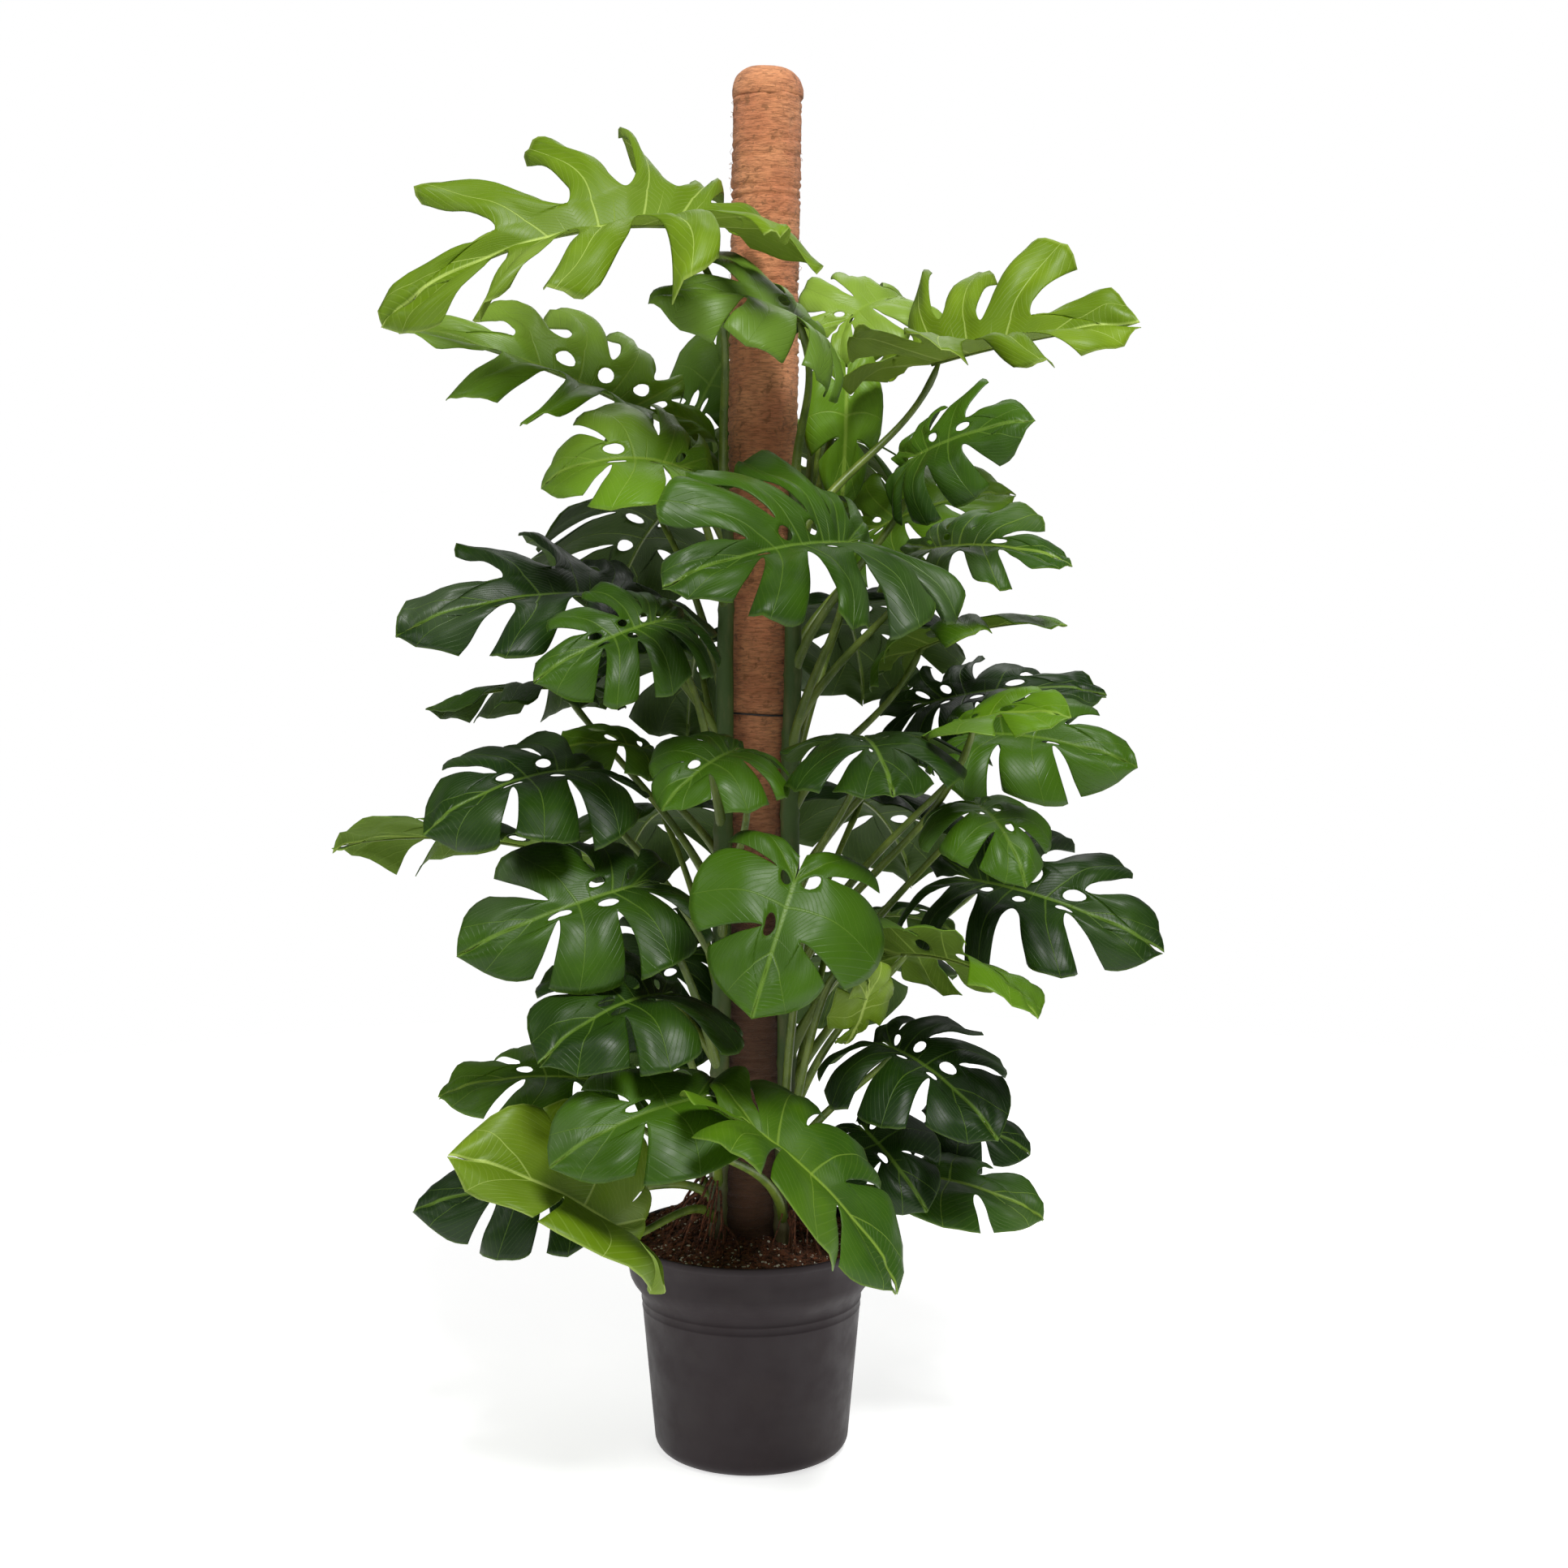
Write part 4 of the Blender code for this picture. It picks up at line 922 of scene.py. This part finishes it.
def add_midrib(bm, leaf):
    """The raised midrib along the underside, thinner towards the tip."""
    placing = BladeFrame(leaf)
    shares = [0.01 + 0.94 * i / (RIB_STATIONS - 1) for i in range(RIB_STATIONS)]
    points = [placing.world(u, 0.0, -RIB_DROP / placing.length) for u in shares]
    thick = RIB_RADIUS * sqrt(placing.length / 0.25)
    add_tube(bm, points, [thick * (1.0 - 0.78 * u) for u in shares], 8, STALK_SLOT)


def make_leaf(leaf, foot_height, materials):
    """The blade thickened, with its stalk and its midrib, as one piece."""
    sheet = blade_sheet(leaf)
    for _ in (TOP_SLOT, UNDER_SLOT, STALK_SLOT):
        sheet.data.materials.append(None)
    shell = sheet.modifiers.new("thickness", "SOLIDIFY")
    shell.thickness = BLADE_THICKNESS
    shell.offset = 0.0
    shell.material_offset = UNDER_SLOT
    bm = baked(sheet)
    add_stalk(bm, leaf, foot_height)
    add_midrib(bm, leaf)
    worn = (*materials[leaf.tone], materials["stalk"])
    place_piece("fine_" + leaf.name, bm, worn, "leaf_" + leaf.tone, leaf.name)


# Stems, pole, pot and soil

def make_stems(feet, material):
    """The climbing stems, a little crooked and swollen where a leaf leaves them."""
    for name, azimuth, top in STEMS:
        nodes = [feet[leaf.name] for leaf in LEAVES if stem_for(leaf)[0] == name]
        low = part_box(name)[0].z
        count = int((top - low) / 0.004)
        points = []
        radii = []
        for i in range(count + 1):
            z = low + (top - low) * i / count
            share = max(0.0, (z - TAPER_START) / (top - TAPER_START))
            radius = STEM_RADIUS + (STEM_TIP_RADIUS - STEM_RADIUS) * share ** 2
            swelling = min(1.0, sum(swell(z, height, NODE_SWELL) for height in nodes))
            uneven = noise(Vector((azimuth, 0.0, 30.0 * z)))
            radii.append(radius * (0.97 + 0.12 * swelling + 0.04 * uneven))
            sway = [noise(Vector((azimuth, row, 9.0 * z))) for row in (1.0, 5.0)]
            points.append(stem_point(azimuth, z) + 0.0015 * Vector((*sway, 0.0)))
        radii[-1] *= 0.6
        bm = bmesh.new()
        add_tube(bm, points, radii, 14)
        place_piece("round_" + name, bm, (material,), "green_stem", name)


def coir_turns(draw, low, high):
    """For a height: how many turns are under it, and how deep the groove is there."""
    turns = [low]
    while turns[-1] < high:
        turns.append(turns[-1] + draw.uniform(*COIR_PITCH))
    depths = [draw.uniform(*COIR_GROOVE) for _ in turns]

    def at(z):
        i = max(0, min(len(turns) - 2, bisect_right(turns, z) - 1))
        share = (z - turns[i]) / (turns[i + 1] - turns[i])
        return i + share, depths[i] * (1.0 - share) + depths[i + 1] * share

    return at


def make_winding(draw, low, high, radius, material):
    """The wound coir: a lumpy tube, grooved along a helix of uneven pitch."""
    turns = coir_turns(draw, low, high)
    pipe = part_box("pole_pipe")
    inner = (pipe[1].y - pipe[0].y) / 2 + 0.0003

    def outside(z):
        number, depth = turns(z)
        deep = sum(swell(z, groove, DEEP_GROOVE_WIDTH) for groove in DEEP_GROOVES)

        def at(angle):
            phase = (number - angle / tau) % 1.0
            r = radius + 0.0004 - depth * swell(min(phase, 1.0 - phase), 0.0, GROOVE_SHARE)
            r += 0.0016 * noise(around(1.4, angle, 22.0 * z)) - DEEP_GROOVE_DEPTH * deep
            r += 0.0009 * noise(around(7.0, angle, 230.0 * z))
            return around(r, angle, z, pole_lean(z))

        return at

    rings = [outside(high - (high - low) * k / COIR_ROWS) for k in range(COIR_ROWS + 1)]
    rings += [round_ring(inner, z, pole_lean(z)) for z in (low, LEAN_START, high)]
    bm = bmesh.new()
    add_turned(bm, rings, COIR_STEPS, closed=True)
    place_piece("wound_coir", bm, (material,), "coir_fibre", "coir_wrap")


def make_cap(material):
    """The lumpy dome over the pole's top."""
    base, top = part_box("coir_cap")
    edge = (top.y - base.y) / 2
    profile = []
    for k in range(CAP_ROWS + 1):
        up = pi / 2 * (1.0 - k / CAP_ROWS)
        height = base.z + CAP_EDGE + (top.z - base.z - CAP_EDGE) * sin(up) ** 0.9
        profile.append((edge * max(0.02, cos(up) ** 0.55), height))
    profile += [(0.985 * edge, base.z + 0.001), (0.93 * edge, base.z - 0.002), (0.6 * edge, base.z)]

    def ring(across, height):
        def at(angle):
            spot = around(across, angle, height) * 45.0
            r = across * (1.0 + 0.045 * noise(spot) + 0.012 * noise(4.0 * spot))
            bump = 0.0016 * noise(spot + Vector((7.0, 0.0, 0.0)))
            return around(r, angle, height + bump - 0.0012, pole_lean(POLE_TOP))

        return at

    bm = bmesh.new()
    add_turned(bm, [ring(*pair) for pair in profile], COIR_STEPS)
    place_piece("domed_coir", bm, (material,), "coir_fibre", "coir_cap")


def make_coir(material):
    """The coir on the pole: the winding, the cap, and loose fibres that stand off a little."""
    low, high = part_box("coir_wrap")
    radius = (high.y - low.y) / 2
    draw = Random("coir")
    make_winding(draw, low.z, high.z, radius, material)
    make_cap(material)
    bm = bmesh.new()
    for _ in range(FIBRE_COUNT):
        z = draw.uniform(SOIL_CROWN, high.z)
        start = draw.uniform(0.0, tau)
        length = draw.uniform(0.008, 0.026)
        climb = draw.uniform(-0.35, 0.35)
        lift = draw.uniform(0.0005, 0.004)
        points = []
        for i in range(5):
            s = i / 4
            r = radius - 0.0004 + lift * sin(pi * min(1.0, 0.2 + s)) + 0.0004 * s
            height = z + climb * length * s + 0.0015 * sin(5.0 * s + z * 90.0)
            points.append(around(r, start + s * length / radius, height, pole_lean(z)))
        add_tube(bm, points, [0.00022, 0.0002, 0.00018, 0.00015, 0.0001], 3)
    place_piece("loose_coir", bm, (material,), "coir_fibre")


def make_tie(material):
    """The thin wire round the pole, a little wavy."""
    low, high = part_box("pole_tie")
    radius = (high.y - low.y) / 2 + 0.0006
    z = (low.z + high.z) / 2
    turns = [tau * i / 60 + 1.1 for i in range(61)]
    points = [around(radius, a, z + 0.0012 * sin(2 * a), pole_lean(z)) for a in turns]
    bm = bmesh.new()
    add_tube(bm, points, [0.0011] * len(points), 8)
    place_piece("wire_tie", bm, (material,), "tie_wire", "pole_tie")


def pot_profile():
    """Radius and height round the pot's wall: from the middle of its floor up the inside, and
    from the rim down the outside to the middle of its underside."""
    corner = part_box("pot")[1]
    rim, top = corner.x, corner.z
    step = top - COLLAR_HEIGHT
    foot = rim - FOOT_INSET
    inner = rim - POT_WALL
    profile = [
        (0.0005, 0.003), (foot - FOOT_ROUND, 0.003), (foot - POT_WALL, FOOT_ROUND),
        (inner - 0.017, step - 0.003), (inner - 0.008, step + 0.01),
        (inner - 0.0055, step + 0.02), (inner - 0.002, top - 0.001),
    ]
    collar = (
        (0.0012, top), (0.0004, top - 0.0004), (0.0, top - 0.0014), (0.0, top - 0.0055),
        (0.0006, top - 0.0075), (0.002, top - 0.009), (0.0032, top - 0.024),
        (0.0045, step + 0.02), (0.0056, step + 0.015), (0.0085, step + 0.009),
        (0.013, step + 0.003), (0.0155, step - 0.001), (STEP_INSET, step - 0.004),
    )
    profile += [(rim - inset, z) for inset, z in collar]
    for drop in RING_DROPS:
        radius = rim - STEP_INSET - (FOOT_INSET - STEP_INSET) * drop / (step - FOOT_ROUND)
        for out, up in ((0.0, 0.0016), (0.0004, 0.0005), (0.0004, -0.0005), (-0.0001, -0.0016)):
            profile.append((radius + out, step - drop + up))
    for k in range(9):
        bend = around(FOOT_ROUND, pi / 2 * k / 8)
        profile.append((foot - FOOT_ROUND + bend.x, FOOT_ROUND - bend.y))
    return profile + [(0.052, 0.0), (0.05, 0.0012), (0.0005, 0.0012)]


def make_pot(material):
    """The moulded pot, with its drain holes cut through the floor."""
    bm = bmesh.new()
    add_turned(bm, [round_ring(*pair) for pair in pot_profile()], POT_STEPS)
    drills = bmesh.new()
    for i in range(DRAIN_COUNT):
        angle = tau * (i + 0.4) / DRAIN_COUNT
        ends = [around(DRAIN_CIRCLE, angle, z) for z in (-0.01, 0.01)]
        add_tube(drills, ends, [DRAIN_RADIUS] * 2, 24)
    body = add_mesh("pot_body", bm)
    drill = add_mesh("pot_drill", drills)
    cut = body.modifiers.new("drains", "BOOLEAN")
    cut.operation = "DIFFERENCE"
    cut.solver = "EXACT"
    cut.object = drill
    pot = place_piece("moulded_pot", baked(body), (material,), "pot_plastic", "pot")
    pot.data.set_sharp_from_angle(angle=radians(50.0))
    bpy.data.objects.remove(drill, do_unlink=True)


def soil_height(x, y):
    """Height of the heaped soil: lumpy, lower at the wall, with a mound round the stems."""
    height = SOIL_CROWN - 0.001 - 0.007 * min(1.0, hypot(x, y) / SOIL_REACH) ** 3
    from_mound = (x - MOUND_PLACE[0]) ** 2 + (y - MOUND_PLACE[1]) ** 2
    height += MOUND_HEIGHT * exp(-from_mound / MOUND_SPREAD)
    height += 0.004 * noise(Vector((26.0 * x, 26.0 * y, 3.0)))
    return height + 0.0022 * noise(Vector((90.0 * x, 90.0 * y, 9.0)))


def on_soil(radius, angle):
    spot = around(radius, angle)
    spot.z = soil_height(spot.x, spot.y)
    return spot


def make_soil(materials):
    """The heaped soil in the pot, with crumbs and perlite grains strewn on it."""
    low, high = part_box("soil")
    rim = high.x
    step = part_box("pot")[1].z - COLLAR_HEIGHT
    radii = [max(0.001, rim * k / SOIL_ROWS) for k in range(SOIL_ROWS + 1)]
    rings = [partial(on_soil, radius) for radius in radii]
    side = ((0.0028, step + 0.02), (0.0056, step + 0.01), (0.0146, step - 0.003),
            (0.0286, FOOT_ROUND), (0.0425, low.z), (rim - 0.001, low.z))
    rings += [round_ring(rim - inset, z) for inset, z in side]
    bm = bmesh.new()
    add_turned(bm, rings, SOIL_STEPS)
    place_piece("heaped_soil", bm, (materials["soil"],), "potting_soil", "soil")

    draw = Random("crumbs")
    for name, count, sizes, material in GRAINS:
        bm = bmesh.new()
        for _ in range(count):
            reach = (rim - 0.002) * sqrt(draw.random())
            place = around(reach, draw.uniform(0.0, tau))
            seed = 50.0 * place
            size = draw.uniform(*sizes)
            place.z = soil_height(place.x, place.y) + 0.3 * size
            made = bmesh.ops.create_icosphere(bm, subdivisions=1, radius=size)
            stretch = [draw.uniform(*limits) for limits in ((0.7, 1.5), (0.6, 1.1), (0.5, 0.9))]
            shape = Matrix.Rotation(draw.uniform(0.0, tau), 3, "Z") @ Matrix.Diagonal(stretch)
            for vertex in made["verts"]:
                rough = 1.0 + 0.35 * noise(vertex.co * 900.0 + seed)
                vertex.co = rough * (shape @ vertex.co) + place
        place_piece(name, bm, (materials[material],), "potting_soil")


def make_roots(material):
    """Thin brown roots that leave the stems low down and run into the soil."""
    draw = Random("roots")
    bm = bmesh.new()
    for i in range(ROOT_COUNT):
        azimuth = STEMS[i % len(STEMS)][1]
        start = stem_point(azimuth, SOIL_CROWN + draw.uniform(0.015, 0.085))
        angle = radians(azimuth + draw.uniform(-75.0, 75.0))
        reach = draw.uniform(0.02, 0.055)
        end = start + around(reach, angle)
        end.z = soil_height(end.x, end.y) - 0.004
        bulge = around(draw.uniform(0.2, 0.7) * reach, angle + pi / 2)
        shares = [k / (ROOT_POINTS - 1) for k in range(ROOT_POINTS)]
        points = []
        for s in shares:
            point = start.lerp(end, s ** 0.7) + bulge * (s * (1.0 - s))
            point.z = start.z + (end.z - start.z) * s ** 1.6
            wobble = 0.0025 * noise(Vector((3.0 * i, 4.0 * s, 0.5)))
            points.append(point + Vector((wobble, -wobble, 0.0)))
        thick = draw.uniform(0.0008, 0.0019)
        add_tube(bm, points, [thick * (1.0 - 0.35 * s) for s in shares], 7)
    place_piece("fine_roots", bm, (material,), "potting_soil")


# Camera, light and floor

def make_camera():
    data = bpy.data.cameras.new("camera")
    data.lens = CAMERA_LENS
    data.sensor_width = 36.0
    camera = add_object("camera", data)
    camera.location = CAMERA_PLACE
    camera.rotation_euler = (radians(90.0 - CAMERA_TILT), 0.0, 0.0)
    bpy.context.scene.camera = camera


def make_light(name, place, size, power):
    """A soft area light that looks at the middle of the plant."""
    data = bpy.data.lights.new(name, "AREA")
    data.shape = "DISK"
    data.size = size
    data.energy = power
    light = add_object(name, data)
    light.location = place
    back = Vector(place) - Vector((0.0, 0.0, 0.8))
    light.rotation_euler = back.to_track_quat("Z", "Y").to_euler()


def make_studio():
    """A white backdrop that gives less light than it shows, three lamps and a pale floor."""
    world = bpy.data.worlds.new("studio")
    world.use_nodes = True
    nodes = world.node_tree.nodes
    links = world.node_tree.links
    background = nodes["Background"].inputs
    rays = nodes.new("ShaderNodeLightPath")
    strength = nodes.new("ShaderNodeMapRange")
    strength.inputs["To Min"].default_value = AMBIENT_STRENGTH
    strength.inputs["To Max"].default_value = BACKDROP_STRENGTH
    background["Color"].default_value = (1.0, 1.0, 1.0, 1.0)
    links.new(rays.outputs["Is Camera Ray"], strength.inputs["Value"])
    links.new(strength.outputs["Result"], background["Strength"])
    bpy.context.scene.world = world
    bpy.context.scene.view_settings.view_transform = "Standard"
    for lamp in LIGHTS:
        make_light(*lamp)
    bm = bmesh.new()
    bmesh.ops.create_circle(bm, cap_ends=True, segments=96, radius=FLOOR_RADIUS)
    floor = add_mesh("floor", bm)
    floor.data.materials.append(floor_white())
    floor.location.z = -0.0005


def main():
    make_camera()
    make_studio()
    materials = {"stalk": stalk_green(), "soil": soil_crumb(), "perlite": perlite()}
    for tone, (top, under) in LEAF_TONES.items():
        materials[tone] = (leaf_top("leaf_" + tone, *top), leaf_under("under_" + tone, *under))
    feet = stalk_feet()
    for leaf in LEAVES:
        make_leaf(leaf, feet[leaf.name], materials)
    make_stems(feet, stem_bark())
    make_coir(coir_fibre())
    make_tie(wire_coating())
    plastic = pot_plastic()
    make_pot(plastic)
    make_soil(materials)
    make_roots(materials["soil"])
    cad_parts["pole_pipe"].material_slots[0].material = plastic


main()
